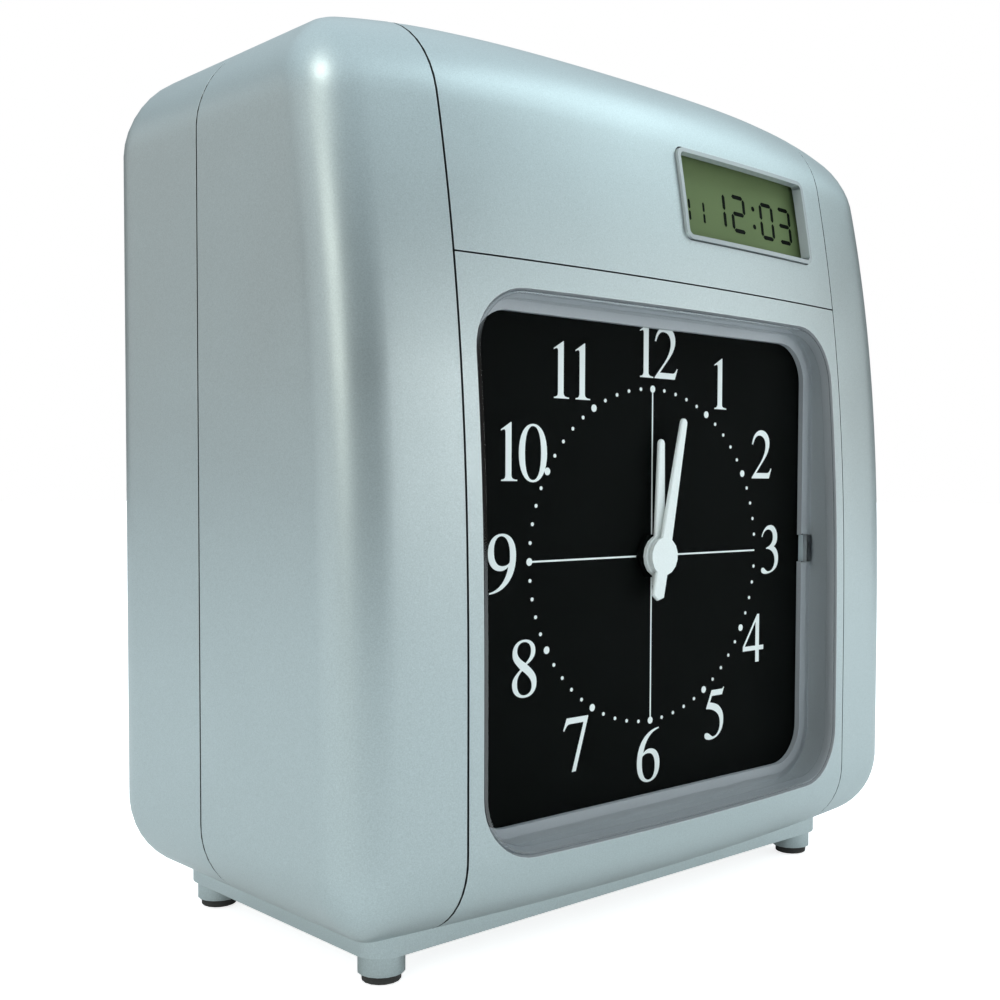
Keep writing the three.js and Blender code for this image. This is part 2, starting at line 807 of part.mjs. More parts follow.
// Base plate: a shallow tray with four round bosses.
const bossBottomZ = footPadProud;
const bossTopZ = baseFloorZ - baseFloorThickness / 2;
const padTopZ = footPadHeight;
const screwX = frameHalfWidth + footFlangeWidth - screwInsetX;
const screwPlaces = [];
for (const x of [-screwX, screwX]) {
  for (const y of [frameFrontY + screwInsetY, frameBackY - screwInsetY]) screwPlaces.push([x, y]);
}
let basePlate = extrude(baseOutline(0), "z", baseBottomZ, baseRimZ).subtract(
  extrude(baseOutline(-baseRimThickness), "z", baseFloorZ, baseRimZ + overrun),
);
const footPlaces = [];
for (const y of [footFrontY, footRearY]) {
  for (const x of [-footX, footX]) footPlaces.push([x, y]);
}
for (const [x, y] of footPlaces) {
  const boss = rod("z", bossBottomZ, bossTopZ, footBossRadius, x, y, roundSides);
  const recess = rod("z", 0, padTopZ + fitGap, footPadRadius + fitGap, x, y, roundSides);
  basePlate = basePlate.add(boss).subtract(recess);
}
for (const [x, y] of screwPlaces) {
  basePlate = basePlate.subtract(
    rod("z", 0, baseFloorZ + overrun, screwShankRadius + fitGap, x, y, smallSides),
  );
}
addPiece("base_plate", basePlate, silverPaint);
footPlaces.forEach(([x, y], i) => {
  addPiece(`foot_pad_${i + 1}`, rod("z", 0, padTopZ, footPadRadius, 0, 0), rubber, addGroup(x, y, 0));
});

// Case screws, heads down, through the base plate into the frame's feet.
screwPlaces.forEach(([x, y], i) => {
  const headTopZ = baseBottomZ - fitGap;
  const screw = join(
    rod("z", headTopZ - screwHeadHeight, headTopZ, screwHeadRadius, 0, 0, smallSides),
    rod("z", headTopZ - screwHeadHeight / 2, headTopZ + screwLength, screwShankRadius, 0, 0, smallSides),
  );
  addPiece(`case_screw_${i + 1}`, screw, steel, addGroup(x, y, 0));
});

// Dial plate.
const dialPlate = extrude(
  roundedRectangle(
    -dialHalfWidth,
    dialHalfWidth,
    windowBottomZ + windowHalfWidth - dialHalfWidth - dialCentreZ,
    windowTopZ - windowHalfWidth + dialHalfWidth - dialCentreZ,
    dialCornerRadius,
  ),
  "y",
  0,
  dialThickness,
).subtract(rod("y", -overrun, overrun, bushRadius + fitGap));
const dialGroup = addGroup(0, dialFaceY, dialCentreZ);
addPiece("clock_dial", dialPlate, blackPlastic, dialGroup);

// Movement case, with its plate and threaded bush in front. Depths count back from the dial's face.
const plateFront = dialThickness + fitGap;
const plateBack = plateFront + movementWall;
const movementBack = plateFront + movementDepth;
const caseFront = plateBack + fitGap;
const motionAngle = -Math.PI / 2;
const rotorAngle = Math.PI / 2;
const motionDistance = (clockModule * (cannonTeeth + minuteWheelTeeth)) / 2;
const rotorDistance = (clockModule * (centerWheelTeeth + rotorTeeth)) / 2;
const hourLayer = plateBack + gearLayerGap;
const wheelLayer = hourLayer + clockGearWidth + 2 * gearLayerGap;
const centerLayer = wheelLayer + pinionWidth + gearLayerGap;
const backBearing = movementBack - movementWall;
const coverPlate = join(
  block(-movementHalfWidth, movementHalfWidth, plateFront, plateBack, -movementHalfWidth, movementHalfWidth),
  rod("y", -fitGap - nutThickness, plateBack, bushRadius),
  rod("y", plateFront, wheelLayer + clockGearWidth, studRadius, 0, -motionDistance, smallSides),
).subtract(rod("y", -overrun, overrun, bushBoreRadius));
addPiece("movement_cover", coverPlate, blackPlastic, dialGroup);
const innerHalf = movementHalfWidth - movementWall;
const movementCase = block(
  -movementHalfWidth,
  movementHalfWidth,
  caseFront,
  movementBack,
  -movementHalfWidth,
  movementHalfWidth,
)
  .subtract(block(-innerHalf, innerHalf, caseFront - overrun, backBearing, -innerHalf, innerHalf))
  .subtract(rod("y", 0, movementBack + overrun, arborRadius + fitGap))
  .subtract(rod("y", 0, movementBack + overrun, arborRadius + fitGap, 0, rotorDistance, smallSides));
addPiece("movement_case", movementCase, blackPlastic, dialGroup);
const nutOutline = new THREE.Shape(
  Array.from({ length: nutSides }, (_, i) => {
    const angle = (2 * i * Math.PI) / nutSides;
    return new THREE.Vector2(nutRadius * Math.cos(angle), nutRadius * Math.sin(angle));
  }),
);
const dialNut = extrude(nutOutline, "y", -fitGap - nutThickness, -fitGap).subtract(
  rod("y", -overrun, overrun, bushRadius + fitGap),
);
addPiece("dial_nut", dialNut, brass, dialGroup);

// Hands. Each outline points up and is turned to the time, which is two minutes past twelve.
function handOutline(length, tail, width) {
  const tip = (width * handTipShare) / 2;
  const outline = new THREE.Shape();
  outline.moveTo(-width / 2, 0);
  outline.lineTo(-width / 2, width / 4 - tail);
  outline.lineTo(0, -tail);
  outline.lineTo(width / 2, width / 4 - tail);
  outline.lineTo(width / 2, 0);
  outline.lineTo(tip, length - tip);
  outline.absarc(0, length - tip, tip, 0, Math.PI, false);
  return outline;
}

function hand(length, tail, width, hubRadius, back) {
  const front = back - handThickness;
  return join(
    extrude(handOutline(length, tail, width), "y", front, back, handBevel),
    rod("y", front, back, hubRadius),
  );
}
const hourHandBack = -fitGap - nutThickness - handStep;
const minuteHandBack = hourHandBack - handThickness - handStep;
const hourHand = hand(hourHandLength, hourHandTail, hourHandWidth, hourHubRadius, hourHandBack).subtract(
  rod("y", -overrun, overrun, arborRadius + 2 * fitGap),
);
const hourHandMesh = addPiece("hour_hand", hourHand, handPlastic, dialGroup);
const minuteHand = hand(minuteHandLength, minuteHandTail, minuteHandWidth, minuteHubRadius, minuteHandBack);
const minuteHandMesh = addPiece("minute_hand", minuteHand, handPlastic, dialGroup);
minuteHandMesh.rotation.y = THREE.MathUtils.degToRad(minuteHandDegrees);
hourHandMesh.rotation.y = minuteHandMesh.rotation.y / hoursPerTurn;

// Going train and motion work.
const centerWheel = join(
  rod("y", minuteHandBack + fitGap, movementBack - fitGap, arborRadius, 0, 0, smallSides),
  gear("y", wheelLayer, wheelLayer + pinionWidth, cannonTeeth, clockModule, motionAngle),
  gear("y", centerLayer, centerLayer + clockGearWidth, centerWheelTeeth, clockModule, rotorAngle),
);
addPiece("center_wheel", centerWheel, brass, dialGroup);
const hourTube = rod("y", hourHandBack + fitGap, hourLayer + clockGearWidth, hourTubeRadius).subtract(
  rod("y", -overrun, overrun, hourTubeBoreRadius),
);
const hourPhase = motionAngle + Math.PI / hourWheelTeeth;
const hourWheel = gear("y", hourLayer, hourLayer + clockGearWidth, hourWheelTeeth, clockModule, hourPhase)
  .subtract(rod("y", -overrun, overrun, hourTubeBoreRadius))
  .add(hourTube);
addPiece("hour_wheel", hourWheel, brass, dialGroup);
const motionGroup = addGroup(0, 0, -motionDistance, dialGroup);
const wheelPhase = rotorAngle + Math.PI / minuteWheelTeeth;
const minuteWheel = join(
  gear("y", hourLayer, wheelLayer, minutePinionTeeth, clockModule, rotorAngle),
  gear("y", wheelLayer, wheelLayer + clockGearWidth, minuteWheelTeeth, clockModule, wheelPhase),
).subtract(rod("y", -overrun, overrun, studRadius + fitGap, 0, 0, smallSides));
addPiece("minute_wheel", minuteWheel, whitePlastic, motionGroup);
const rotorGroup = addGroup(0, 0, rotorDistance, dialGroup);
const rotorPhase = motionAngle + Math.PI / rotorTeeth;
const rotorFront = centerLayer - gearLayerGap / 2;
const rotorBack = centerLayer + clockGearWidth + gearLayerGap;
const stepperRotor = join(
  rod("y", rotorFront, movementBack - fitGap, arborRadius, 0, 0, smallSides),
  gear("y", rotorFront, rotorBack, rotorTeeth, clockModule, rotorPhase),
  rod("y", rotorBack, backBearing - gearLayerGap, magnetRadius),
);
addPiece("stepper_rotor", stepperRotor, steel, rotorGroup);
const coilBottom = rotorDistance + magnetRadius + gearLayerGap;
const stepperCoil = block(
  -coilLength / 2,
  coilLength / 2,
  backBearing - fitGap - coilSize,
  backBearing - fitGap,
  coilBottom,
  coilBottom + coilSize,
);
addPiece("stepper_coil", stepperCoil, copper, dialGroup);

// Inner frame: folded sheet that stands on the base plate and carries all that is inside.
const frameFloorZ = baseFloorZ + fitGap;
const dialBackY = dialFaceY + dialThickness;
const dialFlangeY = dialBackY + fitGap;
const dialFlangeBottomZ = windowBottomZ + dialFlangeMargin;
const dialFlangeTopZ = windowTopZ - dialFlangeMargin;
const boardBackY = displayBoardY + boardThickness;
const feedShaftY = cardPlaneY + nipGap + feedRollerRadius;
const pinchShaftY = cardPlaneY - nipGap - pinchRollerRadius;
const feedDistance = (feedModule * (feedGearTeeth + feedPinionTeeth)) / 2;
const feedMotorY = feedShaftY + feedDistance;
const boardFlangeY = boardBackY + fitGap;
const sideOutline = new THREE.Shape([
  new THREE.Vector2(frameFrontY, frameFloorZ),
  new THREE.Vector2(frameBackY, frameFloorZ),
  new THREE.Vector2(frameBackY, frameMotorShelfZ),
  new THREE.Vector2(feedMotorY + motorPlateMargin, frameMotorShelfZ),
  new THREE.Vector2(feedMotorY + motorPlateMargin, frameTopZ),
  new THREE.Vector2(boardFlangeY, frameTopZ),
  new THREE.Vector2(boardFlangeY, dialFlangeTopZ),
  new THREE.Vector2(dialFlangeY, dialFlangeTopZ),
  new THREE.Vector2(dialFlangeY, dialFlangeBottomZ),
  new THREE.Vector2(frameFrontY, dialFlangeBottomZ),
]);
const frameInnerX = frameHalfWidth - sheetThickness;
const keeperFrontY = lockY - camWidth / 2 - fitGap - keeperThickness;
const camInnerX = bodyHalfWidth - lockLength - camThickness - fitGap;
const frameBackFrontY = frameBackY - sheetThickness;
let innerFrame = acrossBody(frameHalfWidth, frameBackFrontY, frameBackY, frameFloorZ, frameBackTopZ);
for (const side of [-1, 1]) {
  const inner = side * frameInnerX;
  const outer = side * frameHalfWidth;
  const span = (a, b) => [Math.min(a, b), Math.max(a, b)];
  innerFrame = join(
    innerFrame,
    extrude(sideOutline, "x", ...span(inner, outer)),
    block(
      ...span(inner, outer + side * footFlangeWidth),
      frameFrontY,
      frameBackY,
      frameFloorZ,
      frameFloorZ + sheetThickness,
    ),
    block(
      ...span(inner, outer + side * dialFlangeWidth),
      dialFlangeY,
      dialFlangeY + sheetThickness,
      dialFlangeBottomZ,
      dialFlangeTopZ,
    ),
    block(
      ...span(outer, inner - side * boardFlangeWidth),
      boardFlangeY,
      boardFlangeY + sheetThickness,
      displayBoardBottomZ,
      displayBoardTopZ,
    ),
  );
}
const keeper = block(
  frameInnerX,
  camInnerX + camThickness + fitGap,
  keeperFrontY,
  keeperFrontY + keeperThickness,
  lockZ + lockFlangeRadius + fitGap,
  lockZ + lockFlangeRadius + fitGap + keeperHeight,
);
innerFrame = innerFrame.add(keeper);
const frameBores = [
  [feedShaftY, feedZ, feedShaftRadius + shaftClearance],
  [pinchShaftY, feedZ, pinchShaftRadius + shaftClearance],
  [feedMotorY, feedZ, motorShaftRadius + shaftClearance],
  [rodY, lowerRodZ, rodRadius + fitGap],
  [rodY, upperRodZ, rodRadius + fitGap],
];
for (const [y, z, radius] of frameBores) {
  innerFrame = innerFrame.subtract(rod("x", -sideLimit, sideLimit, radius, y, z, smallSides));
}
for (const [x, y] of screwPlaces) {
  innerFrame = innerFrame.subtract(
    rod("z", 0, frameFloorZ + overrun, screwShankRadius + fitGap, x, y, smallSides),
  );
}
addPiece("inner_frame", innerFrame, steel);

// Card guides: two plates across the frame, with the card's pocket between them.
const guideHalfWidth = frameInnerX - fitGap;
const rollerWindowHalfWidth = rollerWidth / 2 + 2 * fitGap;
const rollerWindowHalfHeight = feedRollerRadius + fitGap;
const rollerWindows = join(
  ...[-rollerX, rollerX].map((x) =>
    block(
      x - rollerWindowHalfWidth,
      x + rollerWindowHalfWidth,
      -depthLimit,
      depthLimit,
      feedZ - rollerWindowHalfHeight,
      feedZ + rollerWindowHalfHeight,
    ),
  ),
);
const printWindow = acrossBody(
  platenHalfWidth + fitGap,
  -depthLimit,
  depthLimit,
  printLineZ - printWindowHeight / 2 - fitGap,
  printLineZ + printWindowHeight / 2 + fitGap,
);
const frontGuide = acrossBody(
  guideHalfWidth,
  pocketFrontY - guideThickness,
  pocketFrontY,
  guideBottomZ,
  frontGuideTopZ,
).subtract(printWindow);
addPiece("card_guide_front", frontGuide, blackPlastic);
const railWidth = guideThickness;
const rails = [-1, 1].map((side) => {
  const near = side * cardPocketHalfWidth;
  const far = side * (cardPocketHalfWidth + railWidth);
  return block(
    Math.min(near, far),
    Math.max(near, far),
    pocketFrontY + fitGap,
    pocketBackY + guideThickness / 2,
    guideBottomZ,
    frontGuideTopZ,
  );
});
const rearGuide = join(
  acrossBody(guideHalfWidth, pocketBackY, pocketBackY + guideThickness, guideBottomZ, rearGuideTopZ),
  acrossBody(
    cardPocketHalfWidth + railWidth,
    pocketFrontY + fitGap,
    pocketBackY + guideThickness,
    guideBottomZ,
    guideBottomZ + guideThickness,
  ),
  ...rails,
)
  .subtract(rollerWindows)
  .subtract(printWindow);
addPiece("card_guide_rear", rearGuide, blackPlastic);

// Feed rollers behind the card, pinch roller in front of it.
const feedGearX = frameHalfWidth + 2 * fitGap;
const feedGroup = addGroup(0, feedShaftY, feedZ);
addPiece(
  "feed_shaft",
  rod("x", -frameHalfWidth - fitGap, feedGearX + feedGearWidth + fitGap, feedShaftRadius, 0, 0, smallSides),
  steel,
  feedGroup,
);
const feedGear = gear("x", feedGearX, feedGearX + feedGearWidth, feedGearTeeth, feedModule, 0).subtract(
  rod("x", 0, sideLimit, feedShaftRadius + fitGap, 0, 0, smallSides),
);
addPiece("feed_gear", feedGear, whitePlastic, feedGroup);
[
  ["feed_roller_left", -rollerX],
  ["feed_roller_right", rollerX],
].forEach(([name, x]) => {
  const roller = rod("x", -rollerWidth / 2, rollerWidth / 2, feedRollerRadius).subtract(
    rod("x", -rollerWidth, rollerWidth, feedShaftRadius + fitGap, 0, 0, smallSides),
  );
  addPiece(name, roller, rubber, addGroup(x, 0, 0, feedGroup));
});
const pinchRoller = join(
  rod("x", -frameHalfWidth, frameHalfWidth, pinchShaftRadius, 0, 0, smallSides),
  ...[-rollerX, rollerX].map((x) => rod("x", x - rollerWidth / 2, x + rollerWidth / 2, pinchRollerRadius)),
);
addPiece("pinch_roller", pinchRoller, whitePlastic, addGroup(0, pinchShaftY, feedZ));
const feedMotorGroup = addGroup(0, feedMotorY, feedZ);
const feedMotor = rod("x", guideHalfWidth - motorLength, guideHalfWidth, motorRadius).subtract(
  rod("x", guideHalfWidth - motorLength / 2, sideLimit, motorShaftRadius + fitGap, 0, 0, smallSides),
);
addPiece("feed_motor", feedMotor, steel, feedMotorGroup);
const feedPinionPhase = Math.PI + Math.PI / feedPinionTeeth;
const feedPinion = join(
  gear("x", feedGearX, feedGearX + feedGearWidth, feedPinionTeeth, feedModule, feedPinionPhase),
  rod(
    "x",
    guideHalfWidth - motorLength / 2 + fitGap,
    feedGearX + feedGearWidth,
    motorShaftRadius,
    0,
    0,
    smallSides,
  ),
);
addPiece("feed_pinion", feedPinion, brass, feedMotorGroup);

// Print unit: a head on a carriage that slides on two rods, driven by a rack and pinion.
const rodEnd = frameHalfWidth + fitGap;
[
  ["guide_rod_lower", lowerRodZ],
  ["guide_rod_upper", upperRodZ],
].forEach(([name, z]) => {
  const guideRod = rod("x", -rodEnd, rodEnd, rodRadius, 0, 0, smallSides);
  addPiece(name, guideRod, steel, addGroup(0, rodY, z));
});
const rackPitchZ = carriageBottomZ - rackBackingHeight - rackModule;
const rackPitch = Math.PI * rackModule;
const rackHalfLength = carriageTravel + rackEndLength;
const rackTeeth = Math.floor(rackHalfLength / rackPitch);
const rackPoints = [
  new THREE.Vector2(rackHalfLength, carriageBottomZ + rackModule),
  new THREE.Vector2(-rackHalfLength, carriageBottomZ + rackModule),
  new THREE.Vector2(-rackHalfLength, rackPitchZ + dedendumShare * rackModule),
];
for (let i = -rackTeeth; i < rackTeeth; i += 1) {
  const middle = (i + 0.5) * rackPitch;
  for (const [share, height] of [
    [-toothRootShare, dedendumShare],
    [-toothTipShare, -addendumShare],
    [toothTipShare, -addendumShare],
    [toothRootShare, dedendumShare],
  ]) {
    rackPoints.push(new THREE.Vector2(middle + share * rackPitch, rackPitchZ + height * rackModule));
  }
}
rackPoints.push(new THREE.Vector2(rackHalfLength, rackPitchZ + dedendumShare * rackModule));
const rack = extrude(new THREE.Shape(rackPoints), "y", carriageFrontY, carriageFrontY + rackWidth);
const carriageBody = acrossBody(
  carriageHalfWidth,
  carriageFrontY,
  carriageBackY,
  carriageBottomZ,
  carriageTopZ,
);
const carriageBores = join(
  ...[lowerRodZ, upperRodZ].map((z) =>
    rod("x", -overrun, overrun, rodRadius + fitGap, rodY, z, smallSides),
  ),
);
addPiece("print_carriage", join(carriageBody, rack).subtract(carriageBores), blackPlastic);
const frontGuideFrontY = pocketFrontY - guideThickness;
const ribbonBackY = frontGuideFrontY - fitGap;
const ribbonFrontY = ribbonBackY - ribbonThickness;
const noseTipY = ribbonFrontY - fitGap;
const headFrontY = carriageBackY + fitGap;
const headBackY = noseTipY - headNoseLength;
let printHead = join(
  acrossBody(headHalfWidth, headFrontY, headBackY, headBottomZ, headTopZ),
  acrossBody(
    headNoseHalfWidth,
    headFrontY,
    noseTipY,
    printLineZ - headNoseHeight / 2,
    printLineZ + headNoseHeight / 2,
  ),
);
const finPitch = (2 * headHalfWidth) / headFinCount;
for (let i = 1; i < headFinCount; i += 1) {
  const x = -headHalfWidth + i * finPitch;
  const finDepth = headTopZ - printLineZ - headNoseHeight / 2 - finGap;
  printHead = printHead.subtract(
    block(
      x - finGap / 2,
      x + finGap / 2,
      headFrontY + finGap,
      headBackY + overrun,
      headTopZ - finDepth,
      headTopZ + overrun,
    ),
  );
}
addPiece("print_head", printHead, blackPlastic);
const rackPinionRadius = (rackModule * rackPinionTeeth) / 2;
const rackPinionZ = rackPitchZ - rackPinionRadius;
const carriageMotorGroup = addGroup(0, 0, rackPinionZ);
const motorFrontY = carriageFrontY + rackWidth + 2 * fitGap;
const motorBackY = frontGuideFrontY - fitGap;
const motorMiddleY = (motorFrontY + motorBackY) / 2;
const carriageMotor = rod("y", motorFrontY, motorBackY, carriageMotorRadius).subtract(
  rod("y", motorFrontY - overrun, motorMiddleY, motorShaftRadius + fitGap, 0, 0, smallSides),
);
addPiece("carriage_motor", carriageMotor, steel, carriageMotorGroup);
const carriagePinion = join(
  gear("y", carriageFrontY, carriageFrontY + rackWidth, rackPinionTeeth, rackModule, rotorAngle),
  rod("y", carriageFrontY, motorMiddleY - fitGap, motorShaftRadius, 0, 0, smallSides),
);
addPiece("carriage_pinion", carriagePinion, brass, carriageMotorGroup);
const ribbonBottomZ = printLineZ - ribbonHeight / 2;
const ribbonTopZ = printLineZ + ribbonHeight / 2;
const armInnerX = cartridgeHalfWidth - cartridgeArmWidth;
const armFrontY = rodY + rodRadius + fitGap;
const cartridge = join(
  acrossBody(cartridgeHalfWidth, boardFlangeY + 2 * fitGap, cartridgeBackY, cartridgeBottomZ, cartridgeTopZ),
  ...[-1, 1].map((side) => {
    const near = side * armInnerX;
    const far = side * cartridgeHalfWidth;
    const x0 = Math.min(near, far);
    const x1 = Math.max(near, far);
    return join(
      block(x0, x1, armFrontY, cartridgeBackY, ribbonBottomZ, cartridgeBottomZ + fitGap),
      block(x0, x1, cartridgeBackY - fitGap, ribbonBackY, ribbonBottomZ, ribbonTopZ),
    );
  }),
);
addPiece("ribbon_cartridge", cartridge, greyPlastic);
addPiece(
  "ink_ribbon",
  acrossBody(armInnerX - fitGap, ribbonFrontY, ribbonBackY, ribbonBottomZ, ribbonTopZ),
  blackPlastic,
);
const platenFaceY = cardPlaneY + nipGap;
const platenBarY = pocketBackY + guideThickness + fitGap;
const platen = join(
  acrossBody(
    platenHalfWidth,
    platenFaceY,
    platenBarY + platenBarDepth / 2,
    printLineZ - printWindowHeight / 2,
    printLineZ + printWindowHeight / 2,
  ),
  acrossBody(
    guideHalfWidth,
    platenBarY,
    platenBarY + platenBarDepth,
    printLineZ - printWindowHeight / 2,
    printLineZ + printWindowHeight / 2,
  ),
);
addPiece("platen", platen, steel);

// Main board on its stand-offs, backup battery on the floor, and the power inlet in the back wall.
const componentOverlap = boardThickness / 2;
const mainBoard = join(
  acrossBody(mainBoardHalfWidth, mainBoardFrontY, mainBoardBackY, mainBoardBottomZ, mainBoardTopZ),
  block(
    -mainBoardHalfWidth + standoffInset,
    -mainBoardHalfWidth + standoffInset + transformerSize,
    mainBoardFrontY - transformerSize / 2,
    mainBoardFrontY + componentOverlap,
    mainBoardBottomZ + standoffInset,
    mainBoardBottomZ + standoffInset + transformerSize,
  ),
  block(
    -connectorLength / 2,
    connectorLength / 2,
    mainBoardFrontY - connectorSize,
    mainBoardFrontY + componentOverlap,
    mainBoardTopZ - standoffInset - connectorSize,
    mainBoardTopZ - standoffInset,
  ),
  block(
    transformerSize / 2,
    transformerSize / 2 + transformerSize,
    mainBoardFrontY - boardThickness * 2,
    mainBoardFrontY + componentOverlap,
    (mainBoardBottomZ + mainBoardTopZ) / 2,
    (mainBoardBottomZ + mainBoardTopZ) / 2 + transformerSize,
  ),
);
addPiece("main_board", mainBoard, boardGreen);
const battery = rod("x", -batteryLength / 2, batteryLength / 2, batteryRadius);
const batteryZ = baseFloorZ + fitGap + batteryRadius;
addPiece("backup_battery", battery, greyPlastic, addGroup(batteryX, batteryY, batteryZ));
const inletFaceY = backFaceY - seamGap;
const inletBody = block(
  -inletWidth / 2,
  inletWidth / 2,
  -inletDepth,
  0,
  -inletHeight / 2,
  inletHeight / 2,
)
  .subtract(rod("y", -inletBoreDepth, overrun, inletBoreRadius))
  .add(rod("y", -inletBoreDepth - inletPinRadius, -inletPinRadius, inletPinRadius, 0, 0, smallSides));
addPiece("dc_inlet", inletBody, blackPlastic, addGroup(inletX, inletFaceY, inletZ));

// Lock: a sleeve in the cheek, and a barrel whose cam swings up behind the frame's keeper.
const lockGroup = addGroup(0, lockY, lockZ);
const sleeveInnerX = bodyHalfWidth - lockLength;
const lockHousing = join(
  rod("x", lockFlangeX, lockFlangeX + lockFlangeThickness, lockFlangeRadius),
  rod("x", sleeveInnerX, lockFlangeX + lockFlangeThickness / 2, lockSleeveRadius),
).subtract(rod("x", 0, sideLimit, lockBarrelRadius + fitGap));
addPiece("lock_housing", lockHousing, steel, lockGroup);
const camOutline = roundedRectangle(-camWidth / 2, camLength, -camWidth / 2, camWidth / 2, camCornerRadius);
const barrelFaceX = lockFlangeX + lockFlangeThickness / 2;
const lockBarrel = join(
  rod("x", camInnerX, barrelFaceX, lockBarrelRadius),
  extrude(camOutline, "x", camInnerX, camInnerX + camThickness),
).subtract(
  block(
    barrelFaceX - keySlotDepth,
    barrelFaceX + overrun,
    -lockBarrelRadius / 2,
    lockBarrelRadius / 2,
    -keySlotWidth / 2,
    keySlotWidth / 2,
  ),
);
addPiece("lock_barrel", lockBarrel, brass, lockGroup);

export default clock;
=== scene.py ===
# %% [markdown]
# A card recorder with an analogue dial.
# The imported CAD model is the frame: its bodies move, its boxes give the places. This script dresses
# that frame in Blender. Every piece is in metres, in the frame's own axes: X to the right and Y to
# the back as seen from the front, Z up.

import json
import math
import re

import bmesh
import bpy
import numpy as np
from mathutils import Matrix, Vector
from mathutils.geometry import delaunay_2d_cdt


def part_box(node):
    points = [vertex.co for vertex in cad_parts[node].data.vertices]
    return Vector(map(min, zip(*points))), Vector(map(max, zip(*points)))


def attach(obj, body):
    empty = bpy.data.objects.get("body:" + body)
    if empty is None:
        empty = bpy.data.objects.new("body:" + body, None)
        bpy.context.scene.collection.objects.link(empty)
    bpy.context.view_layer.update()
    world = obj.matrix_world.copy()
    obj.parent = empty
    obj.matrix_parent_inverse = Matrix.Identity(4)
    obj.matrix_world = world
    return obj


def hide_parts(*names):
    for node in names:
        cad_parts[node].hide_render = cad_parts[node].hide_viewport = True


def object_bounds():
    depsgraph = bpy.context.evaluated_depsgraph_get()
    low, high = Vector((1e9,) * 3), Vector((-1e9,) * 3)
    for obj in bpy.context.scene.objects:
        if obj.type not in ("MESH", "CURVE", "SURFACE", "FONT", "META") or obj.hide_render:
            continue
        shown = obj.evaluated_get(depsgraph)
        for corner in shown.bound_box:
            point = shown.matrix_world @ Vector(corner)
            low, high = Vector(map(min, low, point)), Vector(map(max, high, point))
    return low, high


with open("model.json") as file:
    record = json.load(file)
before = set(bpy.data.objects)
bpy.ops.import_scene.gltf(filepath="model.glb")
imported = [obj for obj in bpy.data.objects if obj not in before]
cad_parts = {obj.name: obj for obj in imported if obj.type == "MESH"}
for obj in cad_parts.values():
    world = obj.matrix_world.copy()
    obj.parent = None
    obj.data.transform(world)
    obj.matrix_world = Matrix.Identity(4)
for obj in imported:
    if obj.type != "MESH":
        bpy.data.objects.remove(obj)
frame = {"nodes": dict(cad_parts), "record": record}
cad_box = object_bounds()
LOW, HIGH = (np.array(corner) for corner in cad_box)
print("CAD box in mm:", np.round(LOW * 1000, 1), np.round(HIGH * 1000, 1))

# %% [markdown]
# The camera stands at the left front, a little above the middle of the housing, and looks slightly
# down. Its place came from a perspective fit of the photograph: a long lens, a yaw of 43 degrees and
# a small shift, because the photograph is a crop.

# %% Camera
YAW = math.radians(43.226)
PITCH = math.radians(-2.422)
ROLL = math.radians(0.252)
CAMERA_PLACE = Vector((-0.24758, -0.26583, 0.11111))

forward = Vector((math.sin(YAW) * math.cos(PITCH), math.cos(YAW) * math.cos(PITCH), math.sin(PITCH)))
level_right = Vector((math.cos(YAW), -math.sin(YAW), 0))
level_up = level_right.cross(forward)
right = level_right * math.cos(ROLL) + level_up * math.sin(ROLL)
up = level_up * math.cos(ROLL) - level_right * math.sin(ROLL)

camera_data = bpy.data.cameras.new("camera")
camera_data.sensor_width = 36
camera_data.lens = 47.35
camera_data.shift_x = -0.045
camera_data.shift_y = 0.0364
camera_data.clip_start = 0.01
camera = bpy.data.objects.new("camera", camera_data)
turn = Matrix((right, up, -forward)).transposed()
camera.matrix_world = Matrix.Translation(CAMERA_PLACE) @ turn.to_4x4()
bpy.context.scene.collection.objects.link(camera)
bpy.context.scene.camera = camera
print("camera at", [round(v, 3) for v in CAMERA_PLACE], "with a", camera_data.lens, "mm lens")

# %% [markdown]
# Silver paint shows what stands round it, so the lamps make the bands that the photograph has. Two
# lamps at the front right light the panels and the dial, and a cool one high at the right lights the
# header and the top edge. Two small warm ones at the left front draw the light band on the rounded
# corner and the highlight above it. Two large ones light the left side and the back. A sky, dark low
# down and bright above, gives the even shade between them. The white background is a colour that
# only the camera sees, so it adds no light.

# %% Studio
scene = bpy.context.scene
scene.view_settings.view_transform = "Standard"


def new_node(tree, kind, inputs=None, **settings):
    """Adds a node with its settings, and feeds its inputs by sockets or by plain values."""
    node = tree.nodes.new(kind)
    for name, value in settings.items():
        setattr(node, name, value)
    for name, value in (inputs or {}).items():
        if isinstance(value, bpy.types.NodeSocket):
            tree.links.new(value, node.inputs[name])
        else:
            node.inputs[name].default_value = value
    return node


def camera_ray(tree):
    """A socket that is one where the camera itself looks, and zero for light and reflections."""
    return new_node(tree, "ShaderNodeLightPath").outputs["Is Camera Ray"]


def new_material(name):
    """A material with nodes, and its tree."""
    material = bpy.data.materials.new(name)
    material.use_nodes = True
    return material, material.node_tree


MIDDLE = Vector((0, 0, 0.11))
PLAIN = (1, 1, 1)
WARM = (1, 0.97, 0.88)
COOL = (0.82, 0.96, 1)
